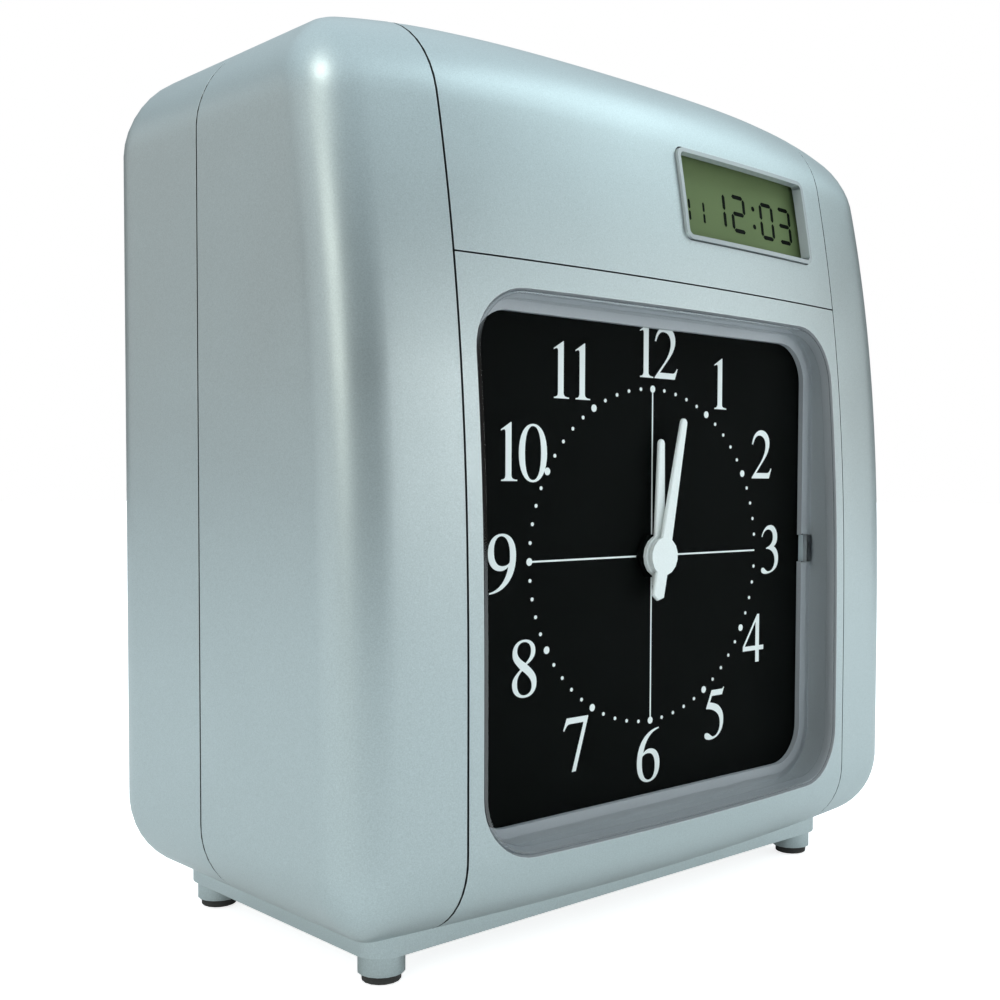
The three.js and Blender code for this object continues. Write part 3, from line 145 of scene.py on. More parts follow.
# Each lamp's place, size in metres, power in watts and colour.
LAMPS = {
    "high_lamp": ((1.1, -0.62, 1.2), 0.9, 4.3, COOL),
    "right_lamp": ((1.25, -0.95, 0.35), 0.7, 2.7, PLAIN),
    "front_lamp": ((0.62, -1.3, 0.35), 0.4, 1.6, PLAIN),
    "corner_lamp": ((-0.8, -0.32, 1.15), 0.3, 2.5, WARM),
    "edge_lamp": ((-1.25, -0.45, 0.5), 0.5, 2.0, WARM),
    "left_lamp": ((-1.2, 0.35, 0.35), 1.0, 1.7, PLAIN),
    "rear_lamp": ((-0.7, 1.25, 0.5), 0.8, 1.1, PLAIN),
}
for name, (place, size, watts, colour) in LAMPS.items():
    data = bpy.data.lights.new(name, "AREA")
    data.size = size
    data.energy = watts
    data.color = colour
    lamp = bpy.data.objects.new(name, data)
    lamp.location = place
    lamp.rotation_euler = (MIDDLE - Vector(place)).to_track_quat("-Z", "Y").to_euler()
    scene.collection.objects.link(lamp)

SKY_LOW = (0.1, 0.095, 0.09, 1)
SKY_HIGH = (0.98, 1.12, 1.2, 1)
SKY_START = 0.2
SKY_END = 0.85
world = bpy.data.worlds.new("studio")
scene.world = world
world.use_nodes = True
tree = world.node_tree
ray = new_node(tree, "ShaderNodeTexCoord").outputs["Object"]
height = new_node(
    tree,
    "ShaderNodeMapRange",
    {
        "Value": new_node(tree, "ShaderNodeSeparateXYZ", {0: ray}).outputs["Z"],
        "From Min": SKY_START,
        "From Max": SKY_END,
    },
    interpolation_type="SMOOTHSTEP",
)
sky_ends = {"Factor": height.outputs["Result"], "A": SKY_LOW, "B": SKY_HIGH}
sky = new_node(tree, "ShaderNodeMix", sky_ends, data_type="RGBA")
background = tree.nodes["Background"]
tree.links.new(sky.outputs["Result"], background.inputs["Color"])
white = new_node(tree, "ShaderNodeBackground", {"Color": (1, 1, 1, 1)})
shown = {0: camera_ray(tree), 1: background.outputs[0], 2: white.outputs[0]}
mix = new_node(tree, "ShaderNodeMixShader", shown)
tree.links.new(mix.outputs[0], tree.nodes["World Output"].inputs[0])

FLOOR_GAP = 0.0002
FLOOR_HALF = 6
FLOOR_GLOW = 0.09
CAMERA_GLOW = 0.7
FLOOR_SOCKETS = {
    "Base Color": (0.9, 0.9, 0.9, 1),
    "Roughness": 0.9,
    "Specular IOR Level": 0.1,
    "Emission Color": (1, 1, 1, 1),
}
mesh = bpy.data.meshes.new("floor")
signs = ((-1, -1), (1, -1), (1, 1), (-1, 1))
corners = [(x * FLOOR_HALF, y * FLOOR_HALF, LOW[2] - FLOOR_GAP) for x, y in signs]
mesh.from_pydata(corners, [], [(0, 1, 2, 3)])
plane = bpy.data.objects.new("floor", mesh)
scene.collection.objects.link(plane)
material, tree = new_material("floor")
shader = tree.nodes["Principled BSDF"]
for label, value in FLOOR_SOCKETS.items():
    shader.inputs[label].default_value = value
glow_values = {0: camera_ray(tree), 1: CAMERA_GLOW, 2: FLOOR_GLOW}
glow = new_node(tree, "ShaderNodeMath", glow_values, operation="MULTIPLY_ADD")
tree.links.new(glow.outputs[0], shader.inputs["Emission Strength"])
mesh.materials.append(material)
print("studio:", len(bpy.data.lights), "soft lamps, a pale floor, a sky and a white background")

# %% [markdown]
# Finishes are built from two shader groups that several materials share. Grain gives the fine speckle
# of paint, moulded plastic and rubber: small cells and cloudy noise that change colour, roughness and
# height a little. It reads object coordinates, so a pattern stays on its piece.

# %% Shader group for grain
CLOUD_SCALE = 35


def shader_group(name, inputs, outputs):
    """An empty group with numbers as inputs, given with their values, and as outputs."""
    group = bpy.data.node_groups.new(name, "ShaderNodeTree")
    for label, value in inputs.items():
        socket = group.interface.new_socket(label, in_out="INPUT", socket_type="NodeSocketFloat")
        socket.default_value = value
    for label in outputs:
        group.interface.new_socket(label, in_out="OUTPUT", socket_type="NodeSocketFloat")
    return group, group.nodes.new("NodeGroupInput").outputs, group.nodes.new("NodeGroupOutput").inputs


def math_node(tree, operation, *values):
    """The result of a Math node fed by sockets or plain numbers."""
    return new_node(tree, "ShaderNodeMath", dict(enumerate(values)), operation=operation).outputs[0]


def noise_node(tree, vector, scale, detail=2):
    """Noise around a half, at a scale given by a socket or a number."""
    values = {"Vector": vector, "Scale": scale, "Detail": detail}
    return new_node(tree, "ShaderNodeTexNoise", values).outputs["Fac"]


grain_values = {"Cell size": 0.0004, "Speckle": 0.1, "Cloud": 0.05}
grain_group, grain_in, grain_out = shader_group("grain", grain_values, ("Shade", "Rough", "Height"))
spot = new_node(grain_group, "ShaderNodeTexCoord").outputs["Object"]
cells = math_node(grain_group, "DIVIDE", 1, grain_in["Cell size"])
fine = noise_node(grain_group, spot, cells, 3)
cloud = noise_node(grain_group, spot, CLOUD_SCALE, 3)
speckle = math_node(grain_group, "MULTIPLY_ADD", fine, 2, -1)
drift = math_node(grain_group, "MULTIPLY_ADD", cloud, 2, -1)
speckled = math_node(grain_group, "MULTIPLY_ADD", speckle, grain_in["Speckle"], 1)
drifted = math_node(grain_group, "MULTIPLY", drift, grain_in["Cloud"])
shade = math_node(grain_group, "ADD", speckled, drifted)
for label, socket in {"Shade": shade, "Rough": drift, "Height": fine}.items():
    grain_group.links.new(socket, grain_out[label])
print("grain group with", len(grain_group.nodes), "nodes")

# %% [markdown]
# Dust and handling show first on edges. The Bevel node rounds the normal near an edge, and the dot
# product with the plain normal falls there, which gives a mask without any picture.

# %% Shader group for worn edges
rub_group, rub_in, rub_out = shader_group("rub", {"Width": 0.0006}, ("Edge",))
bevel = new_node(rub_group, "ShaderNodeBevel", {"Radius": rub_in["Width"]}, samples=4)
plain = new_node(rub_group, "ShaderNodeNewGeometry")
normals = {0: bevel.outputs["Normal"], 1: plain.outputs["Normal"]}
dot = new_node(rub_group, "ShaderNodeVectorMath", normals, operation="DOT_PRODUCT")
turned = math_node(rub_group, "SUBTRACT", 1, dot.outputs["Value"])
edge = new_node(rub_group, "ShaderNodeMapRange", {"Value": turned, "From Min": 0.02, "From Max": 0.3})
rub_group.links.new(edge.outputs["Result"], rub_out["Edge"])
print("rub group with", len(rub_group.nodes), "nodes")

# %% [markdown]
# Each finish is one function call: a colour as it would be on a colour chart, its roughness, its grain
# and its wear. The colours are written as sRGB bytes because that is how a colour chart gives them.
# Clear plastic is a finish of its own kind, see-through with a gloss that grows towards its edges.

# %% Finishes
WORN_COLOUR = (0.85, 0.88, 0.88, 1)
BUMP_STRENGTH = 0.6
ROUGH_DRIFT = 0.08
finishes = {}


def linear(red, green, blue):
    """An sRGB colour, given in bytes, as the linear colour that shaders work in."""
    values = np.array((red, green, blue)) / 255
    return tuple(np.where(values <= 0.04045, values / 12.92, ((values + 0.055) / 1.055) ** 2.4))


def finish(
    name, colour, roughness, metallic=0.0, cell=0.0004, speckle=0.08, cloud=0.03, bump=0.00002,
    wear=0.0, wear_width=0.0006, **sockets,
):
    """A procedural finish: grain in colour, roughness and height, and edges worn a little lighter."""
    material, tree = new_material(name)
    finishes[name] = material
    shader = tree.nodes["Principled BSDF"]
    shader.inputs["Metallic"].default_value = metallic
    for label, value in sockets.items():
        shader.inputs[label.replace("_", " ")].default_value = value
    grain_values = {"Cell size": cell, "Speckle": speckle, "Cloud": cloud}
    grain = new_node(tree, "ShaderNodeGroup", grain_values, node_tree=grain_group).outputs
    tinted = {0: linear(*colour), "Scale": grain["Shade"]}
    colour_out = new_node(tree, "ShaderNodeVectorMath", tinted, operation="SCALE").outputs[0]
    if wear:
        rub = new_node(tree, "ShaderNodeGroup", {"Width": wear_width}, node_tree=rub_group)
        worn = math_node(tree, "MULTIPLY", rub.outputs["Edge"], wear)
        ends = {"Factor": worn, "A": colour_out, "B": WORN_COLOUR}
        colour_out = new_node(tree, "ShaderNodeMix", ends, data_type="RGBA").outputs["Result"]
    rough = math_node(tree, "MULTIPLY_ADD", grain["Rough"], ROUGH_DRIFT, roughness)
    bump_values = {"Distance": bump, "Strength": BUMP_STRENGTH, "Height": grain["Height"]}
    normal = new_node(tree, "ShaderNodeBump", bump_values).outputs["Normal"]
    for label, socket in {"Base Color": colour_out, "Roughness": rough, "Normal": normal}.items():
        tree.links.new(socket, shader.inputs[label])
    return material


silver_paint = finish(
    "silver_paint", (176, 188, 189), 0.38, 0.85, cell=0.0003, speckle=0.22, cloud=0.02, bump=0.00003, wear=0.2
)
raw_plastic = finish("raw_plastic", (40, 44, 45), 0.55, cell=0.0006)
well_grey = finish("well_grey", (178, 181, 185), 0.5, 0.1, speckle=0.06, cloud=0.02)
frame_clear = finish(
    "frame_clear", (196, 205, 207), 0.2, cell=0.0006, speckle=0.04, Transmission_Weight=0.35
)
steel = finish("steel", (178, 182, 184), 0.32, 0.9, cell=0.0008, wear=0.1)
print_white = finish("print_white", (240, 244, 242), 0.5, cell=0.0003, speckle=0.03)
display_dark = finish("display_dark", (12, 16, 12), 0.7, Specular_IOR_Level=0.05)
display_green = finish(
    "display_green", (105, 120, 82), 0.5, cell=0.0005, speckle=0.03, cloud=0.08, Specular_IOR_Level=0.05
)
finish("dial_black", (8, 10, 9), 0.7, cell=0.0003, speckle=0.12, Specular_IOR_Level=0.04)
finish("white_plastic", (216, 219, 214), 0.45, wear=0.1)
finish("black_plastic", (26, 29, 30), 0.5, cell=0.0006, wear=0.06)
finish("grey_plastic", (120, 130, 128), 0.5, cell=0.0006, wear=0.1)
finish("hand_grey", (240, 244, 242), 0.4, wear=0.15, wear_width=0.0003)
finish("rubber", (62, 62, 60), 0.85, cell=0.0005, speckle=0.2, bump=0.00005)
finish("brass", (196, 158, 92), 0.3, 0.9, cell=0.0006, wear=0.15)
finish("copper", (168, 92, 48), 0.38, 0.8, cell=0.0003, speckle=0.3, bump=0.00008)
finish("board_green", (36, 92, 62), 0.5, cell=0.0012, speckle=0.1, cloud=0.06)
finish("ribbon_fabric", (24, 22, 30), 0.8, cell=0.0003, speckle=0.35, bump=0.00006)

GLOSS_START = 0.55
GLOSS_AT_EDGE = 0.6


def clear_finish(name, tint, roughness, gloss_low=0.0):
    """Clear moulded plastic: light goes straight through, and grazing angles reflect more."""
    material, tree = new_material(name)
    finishes[name] = material
    tree.nodes.remove(tree.nodes["Principled BSDF"])
    spot = new_node(tree, "ShaderNodeTexCoord").outputs["Object"]
    bump_values = {"Distance": 0.00002, "Strength": 0.3, "Height": noise_node(tree, spot, 60)}
    normal = new_node(tree, "ShaderNodeBump", bump_values).outputs["Normal"]
    body = new_node(tree, "ShaderNodeBsdfTransparent", {"Color": (*linear(*tint), 1)})
    gloss = new_node(tree, "ShaderNodeBsdfGlossy", {"Roughness": roughness, "Normal": normal})
    slant = new_node(tree, "ShaderNodeLayerWeight").outputs["Facing"]
    gloss_range = {"Value": slant, "From Min": GLOSS_START, "To Min": gloss_low, "To Max": GLOSS_AT_EDGE}
    share = new_node(tree, "ShaderNodeMapRange", gloss_range).outputs["Result"]
    surface = new_node(tree, "ShaderNodeMixShader", {0: share, 1: body.outputs[0], 2: gloss.outputs[0]})
    tree.links.new(surface.outputs[0], tree.nodes["Material Output"].inputs["Surface"])
    return material


clear_plastic = clear_finish("clear_plastic", (254, 255, 255), 0.03)
# A darker, glossier copy of the clear finish for the lens rim. Its darker tint is painted shade for the light
# that thick plastic bends there.
clear_rim_painted_shade = clear_finish("clear_rim_painted_shade", (205, 209, 210), 0.08, 0.14)
print(len(finishes), "finishes")

# %% [markdown]
# The CAD nodes stay where they are. They only get the finish of their real material, piece by piece.
# A finish has its slot's name, apart from those of the boards, the display and the dial's nut.

# %% Finishes of the CAD nodes
OTHER_NAMES = {"display": "display_green", "circuit_board": "board_green"}
OTHER_FINISHES = {"dial_nut": "dial_black"}
slot_of = {part["node"]: part["material_slot"] for part in frame["record"]["subparts"]}
for name, slot in slot_of.items():
    node = frame["nodes"][name]
    chosen = finishes[OTHER_FINISHES.get(name, OTHER_NAMES.get(slot, slot))]
    if not node.material_slots:
        node.data.materials.append(chosen)
    for material_slot in node.material_slots:
        material_slot.material = chosen
print("finishes on", len(frame["nodes"]), "CAD nodes")

# %% [markdown]
# The housing is one smooth form: a front that bows outwards and leans back, sides that stand upright,
# a curl at the bottom, a rounded edge at the top and a crown that rises towards the middle. In CAD it
# is a faceted stack of outlines. Here the same form is a formula, so that any panel can be cut from it
# as finely as needed. The way along a section, from the bottom curl over the wall and the top edge to
# the flat top, is called the run, and "depth" counts inwards from the outer face.

# %% The housing's form
HALF_WIDTH = HIGH[0]
FRONT_Y = -HIGH[1]
BACK_Y = HIGH[1]
COVER_BOTTOM_Z = 0.0108
SHOULDER_Z = 0.2087
CROWN_RISE = 0.0068
CROWN_START_Z = 0.1133
CROWN_POWER = 4.34
FRONT_CORNER = 0.0126
REAR_CORNER = 0.0132
SHARPEST_CORNER = 0.003
TOP_EDGE = 0.0178
BOTTOM_CURL = 0.0197
BOW = 0.682
LEAN = 0.0142
LEAN_START_Z = 0.0516
LEAN_END_Z = 0.204
LEAN_POWER = 2.85
WALL = 0.0024
PANEL = 0.0022
GAP = 0.0002
PANEL_X = 0.0693
HEADER_SEAM_Z = 0.1599
REAR_SEAM_Y = 0.0096

QUARTER = math.pi / 2
CURL_TOP_Z = COVER_BOTTOM_Z + BOTTOM_CURL
EDGE_BOTTOM_Z = SHOULDER_Z - TOP_EDGE
CURL_RUN = BOTTOM_CURL * QUARTER
WALL_RUN = CURL_RUN + EDGE_BOTTOM_Z - CURL_TOP_Z
TOP_RUN = WALL_RUN + TOP_EDGE * QUARTER

# Ways round the outline: straight columns, the stretch up to the corner, the corner and the side.
STRAIGHT = 0.075
TO_CORNER = 0.0865
CORNER_END = TO_CORNER + FRONT_CORNER * QUARTER
SIDE_END = CORNER_END + 0.0525
COVER_STOPS = (TO_CORNER, CORNER_END, SIDE_END)
REAR_TO_CORNER = HALF_WIDTH - REAR_CORNER
REAR_CORNER_END = REAR_TO_CORNER + REAR_CORNER * QUARTER
REAR_SIDE_END = REAR_CORNER_END + BACK_Y - REAR_CORNER - REAR_SEAM_Y - GAP
REAR_STOPS = (REAR_TO_CORNER, REAR_CORNER_END, REAR_SIDE_END)


def lean_y(z):
    """The front face's place in the middle, which leans back with height."""
    share = np.maximum(0, (z - LEAN_START_Z) / (LEAN_END_Z - LEAN_START_Z))
    return FRONT_Y + LEAN * share**LEAN_POWER


def crown(x, z):
    """How far the crown lifts a point."""
    height = np.clip((z - CROWN_START_Z) / (SHOULDER_Z - CROWN_START_Z), 0, 1)
    return CROWN_RISE * height**2 * (1 - np.abs(x / HALF_WIDTH) ** CROWN_POWER)


def section(run, depth):
    """Height, inset from the outline, and way over the flat top, for a run and a depth."""
    curl = np.clip(run / BOTTOM_CURL, 0, QUARTER)
    edge = np.clip((run - WALL_RUN) / TOP_EDGE, 0, QUARTER)
    wall = np.clip(run - CURL_RUN, 0, WALL_RUN - CURL_RUN)
    low_z = CURL_TOP_Z - (BOTTOM_CURL - depth) * np.cos(curl)
    low_inset = BOTTOM_CURL - (BOTTOM_CURL - depth) * np.sin(curl)
    high_z = EDGE_BOTTOM_Z + (TOP_EDGE - depth) * np.sin(edge)
    high_inset = TOP_EDGE - (TOP_EDGE - depth) * np.cos(edge)
    z = np.where(run < CURL_RUN, low_z, np.where(run < WALL_RUN, CURL_TOP_Z + wall, high_z))
    inset = np.where(run < CURL_RUN, low_inset, np.where(run < WALL_RUN, depth, high_inset))
    return z, inset, np.maximum(run - TOP_RUN, 0)


def bow_y(x, z, inset):
    """The bowed front, inset from the outer face."""
    return lean_y(z) + BOW - np.sqrt((BOW - inset) ** 2 - x**2)


def front_corner(z, inset):
    """Radius and centre of the front corner at one inset."""
    radius = np.maximum(FRONT_CORNER - inset, SHARPEST_CORNER)
    centre_x = HALF_WIDTH - inset - radius
    centre_y = lean_y(z) + BOW - np.sqrt((BOW - inset - radius) ** 2 - centre_x**2)
    return radius, centre_x, centre_y


def before_corner(away, to_corner, end_x):
    """X along the front or the back, stretched a little in the last columns before the corner."""
    share = (away - STRAIGHT) / (to_corner - STRAIGHT)
    return np.where(away < STRAIGHT, away, STRAIGHT + share * (end_x - STRAIGHT))


def round_corner(away, x, y, stops, corner, start, facing, seam_y):
    """Carries points on round their corner, from a start angle, and along the side to the seam.
    It faces -1 for the front half and 1 for the rear half."""
    to_corner, corner_end, side_end = stops
    radius, centre_x, centre_y = corner
    share = np.clip((away - to_corner) / (corner_end - to_corner), 0, 1)
    angle = start + share * (QUARTER - start)
    x = np.where(away > to_corner, centre_x + radius * np.sin(angle), x)
    y = np.where(away > to_corner, centre_y + facing * radius * np.cos(angle), y)
    along = np.clip((away - corner_end) / (side_end - corner_end), 0, 1)
    return x, np.where(away > corner_end, centre_y + along * (seam_y - centre_y), y)


def cover_point(way, run, depth):
    """A point of the front half, for a way from the middle of the front round to the rear seam."""
    z, inset, over = section(run, depth)
    away = np.abs(way)
    corner = front_corner(z, inset)
    radius, centre_x, _ = corner
    sweep = np.arcsin(centre_x / (BOW - inset - radius))
    tangent_x = centre_x + radius * np.sin(sweep)
    x = before_corner(away, TO_CORNER, tangent_x)
    y = bow_y(np.minimum(x, tangent_x), z, inset)
    x, y = round_corner(away, x, y, COVER_STOPS, corner, sweep, -1, REAR_SEAM_Y - GAP)
    x = x * np.where(way < 0, -1, 1)
    return np.stack([x, y + over, z + crown(x, z)], axis=-1)


def rear_point(way, run, depth):
    """A point of the rear half, for a way from the right seam round the back to the left seam."""
    z, inset, _ = section(run, depth)
    away = np.abs(way)
    radius = np.maximum(REAR_CORNER - inset, SHARPEST_CORNER)
    corner = radius, HALF_WIDTH - inset - radius, BACK_Y - inset - radius
    x = before_corner(away, REAR_TO_CORNER, corner[1])
    x, y = round_corner(away, x, BACK_Y - inset, REAR_STOPS, corner, 0, 1, REAR_SEAM_Y + GAP)
    x = x * np.where(way > 0, -1, 1)
    return np.stack([x, y, z + crown(x, z)], axis=-1)


def top_point(x, y, depth):
    """A point of the crowned top, inside the rounded edge."""
    z = SHOULDER_Z - depth + 0 * x
    return np.stack([x, y, z + crown(x, z)], axis=-1)


def solve(measure, low, high, rounds=40):
    """The run where a rising measure crosses zero, by halving, for many points at once."""
    for _ in range(rounds):
        middle = (low + high) / 2
        below = measure(middle) < 0
        low = np.where(below, middle, low)
        high = np.where(below, high, middle)
    return (low + high) / 2


def run_at_height(x, z, depth):
    """The run at which the front reaches a height."""
    zero = np.zeros_like(x)
    return solve(lambda run: cover_point(x, run, depth)[..., 2] - z, zero, zero + TOP_RUN)


def front_at(x, z, depth):
    """The point of the front face at a given X and height."""
    y = cover_point(x, run_at_height(x, z, depth), depth)[..., 1]
    return np.stack([x, y, z], axis=-1)


print("run over the housing in mm:", round(TOP_RUN * 1000, 1))

# %% [markdown]
# A panel is a sheet with an outer and an inner face. Its outline is drawn in the unrolled run and way,
# a triangulation fills it with an even net, and the form then bends that net into place. Holes are
# further loops. Along each loop the two faces are joined, straight or over extra rings, as for a well.
# Only the outside of the housing is sprayed, so a painted piece keeps bare dark plastic on its inner
# face and on its plain edges. That is also why its seams look dark.

# %% Nets and shells
MERGE = 0.000004
DOUBLES = 0.000002
TOO_SHORT = 1e-7
NOT_ZERO = 1e-18
NET_TOLERANCE = 1e-9
FLAT_ANGLE = math.radians(12)
SHAPE_ANGLE = math.radians(60)


def inside_and_clear(points, loops, margin):
    """Which points lie inside the loops, holes counted out, and away from every edge."""
    starts = np.concatenate(loops)
    ends = np.concatenate([np.roll(loop, -1, axis=0) for loop in loops])
    px, py = points[:, :1], points[:, 1:]
    rises = (starts[:, 1] > py) != (ends[:, 1] > py)
    with np.errstate(divide="ignore", invalid="ignore"):
        slope = (ends[:, 0] - starts[:, 0]) / (ends[:, 1] - starts[:, 1])
        crossing = starts[:, 0] + (py - starts[:, 1]) * slope
    inside = np.sum(rises & (px < crossing), axis=1) % 2 == 1
    along = ends - starts
    length = np.maximum(np.sum(along**2, axis=1), NOT_ZERO)
    offset = points[:, None, :] - starts[None]
    share = np.clip(np.sum(offset * along, axis=2) / length, 0, 1)
    nearest = np.min(np.linalg.norm(offset - share[..., None] * along, axis=2), axis=1)
    return inside & (nearest > margin)


def net(loops, step, margin=0.6):
    """Fills loops with a net. Returns its points, its triangles and the numbers of each loop's points."""
    loops = [np.asarray(loop, dtype=float) for loop in loops]
    low, high = loops[0].min(axis=0), loops[0].max(axis=0)
    points = np.concatenate(loops)
    if step:
        grid = np.meshgrid(*[np.arange(a + step / 2, b, step) for a, b in zip(low, high)])
        inner = np.stack([axis.ravel() for axis in grid], axis=1)
        points = np.concatenate([points, inner[inside_and_clear(inner, loops, margin * step)]])
    edges, numbers, start = [], [], 0
    for loop in loops:
        count = len(loop)
        edges += [(start + i, start + (i + 1) % count) for i in range(count)]
        numbers.append(np.arange(start, start + count))
        start += count
    result = delaunay_2d_cdt([Vector(p) for p in points], edges, [], 1, NET_TOLERANCE)
    flat, faces, origins = np.array([tuple(p) for p in result[0]]), result[2], result[3]
    centres = flat[np.array(faces)].mean(axis=1)
    faces = [tuple(face) for face, kept in zip(faces, inside_and_clear(centres, loops, 0)) if kept]
    place_of = {old: new for new, olds in enumerate(origins) for old in olds}
    return flat, faces, [np.array([place_of[i] for i in loop]) for loop in numbers]


class Skin:
    """Points and faces of one piece while it is being made."""

    def __init__(self):
        self.points = []
        self.faces = []
        self.unpainted = []

    def add(self, points):
        """Adds points and returns their numbers."""
        first = len(self.points)
        self.points += [tuple(p) for p in np.asarray(points)]
        return np.arange(first, len(self.points))

    def rings(self, rows):
        """Joins closed rows of point numbers in order by four-sided faces."""
        for low, high in zip(rows, rows[1:]):
            for i in range(len(low)):
                j = (i + 1) % len(low)
                self.faces.append((low[i], low[j], high[j], high[i]))

    def shell(self, patches, rims=None):
        """Two faces a wall apart, from patches of (outer, inner, faces, loops).
        rims gives extra rings between the outer and the inner points of a loop, by (patch, loop)."""
        outer = np.concatenate([patch[0] for patch in patches])
        inner = np.concatenate([patch[1] for patch in patches])
        _, first, twin = np.unique(np.round(outer / MERGE), axis=0, return_index=True, return_inverse=True)
        twin = first[twin.ravel()]
        offsets = np.cumsum([0] + [len(patch[0]) for patch in patches])
        faces = []
        for offset, patch in zip(offsets, patches):
            for face in patch[2]:
                corners = [int(twin[offset + i]) for i in face]
                if len(set(corners)) == len(corners):
                    faces.append(corners)
        outside, within = self.add(outer), self.add(inner)
        sides = {pair for face in faces for pair in zip(face, face[1:] + face[:1])}
        ringed = set()
        for (patch, loop), rows in (rims or {}).items():
            numbers = twin[offsets[patch] + patches[patch][3][loop]]
            self.rings([outside[numbers]] + [self.add(row) for row in rows] + [within[numbers]])
            ringed.update(int(i) for i in numbers)
        for face in faces:
            self.faces.append(tuple(outside[i] for i in face))
            self.unpainted.append(len(self.faces))
            self.faces.append(tuple(within[i] for i in reversed(face)))
        for face in faces:
            for a, b in zip(face, face[1:] + face[:1]):
                if (b, a) not in sides and not (a in ringed and b in ringed):
                    self.unpainted.append(len(self.faces))
                    self.faces.append((outside[b], outside[a], within[a], within[b]))


def smooth(mesh, degrees):
    """Smooth shading, with edges kept sharp above an angle."""
    mesh.shade_smooth()
    mesh.set_sharp_from_angle(angle=math.radians(degrees))


def round_edges(piece, width, degrees, steps=2):
    """A bevel on the edges that turn by more than an angle."""
    modifier = piece.modifiers.new("rounded_edges", "BEVEL")
    modifier.width = width
    modifier.segments = steps
    modifier.limit_method = "ANGLE"
    modifier.angle_limit = math.radians(degrees)
    modifier.harden_normals = True


def place_piece(name, mesh, body, stands_for=()):
    """Makes a finished piece of a mesh that already lies in place."""
    piece = bpy.data.objects.new(name, mesh)
    scene.collection.objects.link(piece)
    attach(piece, body)
    if stands_for:
        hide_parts(*stands_for)
    print(name, len(mesh.polygons), "faces")
    return piece


def make_piece(name, skin, material, body, stands_for=(), bevel=0.0, bevel_steps=2, smooth_angle=38):
    """Turns a skin into a finished piece that rides on its body."""
    mesh = bpy.data.meshes.new(name)
    mesh.from_pydata(skin.points, [], [[int(i) for i in face] for face in skin.faces])
    mesh.materials.append(material)
    if material is silver_paint:
        mesh.materials.append(raw_plastic)
        for number in skin.unpainted:
            mesh.polygons[number].material_index = 1
    shape = bmesh.new()
    shape.from_mesh(mesh)
    bmesh.ops.remove_doubles(shape, verts=shape.verts, dist=DOUBLES)
    bmesh.ops.dissolve_degenerate(shape, dist=TOO_SHORT, edges=shape.edges)
    loose = [vert for vert in shape.verts if not vert.link_faces]
    bmesh.ops.delete(shape, geom=loose, context="VERTS")
    bmesh.ops.recalc_face_normals(shape, faces=shape.faces)
    bmesh.ops.join_triangles(
        shape,
        faces=[face for face in shape.faces if len(face.verts) == 3],
        angle_face_threshold=FLAT_ANGLE,
        angle_shape_threshold=SHAPE_ANGLE,
    )
    shape.to_mesh(mesh)
    shape.free()
    smooth(mesh, smooth_angle)
    piece = place_piece(name, mesh, body, stands_for)
    if bevel:
        round_edges(piece, bevel, smooth_angle, bevel_steps)
    return piece


print("helpers for nets, shells and pieces")

# %% [markdown]
# Loops for the openings are rounded rectangles. All loops of one opening have the same number of points,
# so that a ring can be joined to the next one whatever its size. The lower edge of the housing follows
# the notch that the base plate fills.

# %% Outlines
CORNER_STEPS = 10
BASE_BOX = np.array(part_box("base_plate"))
NOTCH_GAP = 0.0004
NOTCH_CORNER = 0.007
NOTCH_X = BASE_BOX[1, 0] + NOTCH_GAP
NOTCH_FRONT_Y = BASE_BOX[0, 1] - NOTCH_GAP
NOTCH_REAR_Y = BASE_BOX[1, 1] + NOTCH_GAP
FAR_BACK = 1.0


def rounded_loop(x0, x1, z0, z1, radius, spacing=0.003, grow=0.0):
    """A rounded rectangle, counted round from its lower left, with the same points for every growth."""
    across, upright = [max(2, round((b - a - 2 * radius) / spacing)) for a, b in ((x0, x1), (z0, z1))]
    left, right_side = x0 + radius, x1 - radius
    low, high = z0 + radius, z1 - radius
    reach = radius + grow
    corners = [(right_side, low, -90), (right_side, high, 0), (left, high, 90), (left, low, 180)]

    def on_corner(corner, degrees):
        """A point of a corner's arc."""
        angle = math.radians(corner[2] + degrees)
        return np.array((corner[0] + reach * math.cos(angle), corner[1] + reach * math.sin(angle)))

    points = []
    for index, side_steps in enumerate((upright, across, upright, across)):
        points += [on_corner(corners[index], 90 * i / CORNER_STEPS) for i in range(CORNER_STEPS + 1)]
        end, target = points[-1], on_corner(corners[(index + 1) % 4], 0)
        points += [end + i / side_steps * (target - end) for i in range(1, side_steps)]
    return np.array(points)


def outside_notch(points, rear_y):
    """How far points lie outside the notch that the base plate fills."""
    middle = np.array([0, (NOTCH_FRONT_Y + rear_y) / 2])
    half = np.array([NOTCH_X, (rear_y - NOTCH_FRONT_Y) / 2]) - NOTCH_CORNER
    away = np.abs(points[..., :2] - middle) - half
    outside = np.linalg.norm(np.maximum(away, 0), axis=-1)
    return outside + np.minimum(np.max(away, axis=-1), 0) - NOTCH_CORNER


def bottom_run(point_of, ways, depth, rear_y):
    """The run at which each column starts: on the notch round the base plate."""
    zero = np.zeros_like(ways)
    return solve(lambda run: outside_notch(point_of(ways, run, depth), rear_y), zero, zero + CURL_RUN)


def spaced(start, end, step):
    """Evenly spaced values from start up to, but without, end."""
    count = max(1, round(abs(end - start) / step))
    return start + (end - start) * np.arange(count) / count


def polygon(*rows):
    """One closed loop from rows of points in order."""
    return np.concatenate([np.stack(np.broadcast_arrays(a, b), axis=1) for a, b in rows])


print("notch half width in mm:", round(NOTCH_X * 1000, 2))

# %% [markdown]
# The dial bezel is the lower centre panel. Its square opening continues as a well that runs straight
# back to the dial and ends in a lip, which frames the black dial and carries the clear lens. The well
# is a lighter grey than the paint, so the faces behind the front skin get a finish of their own.

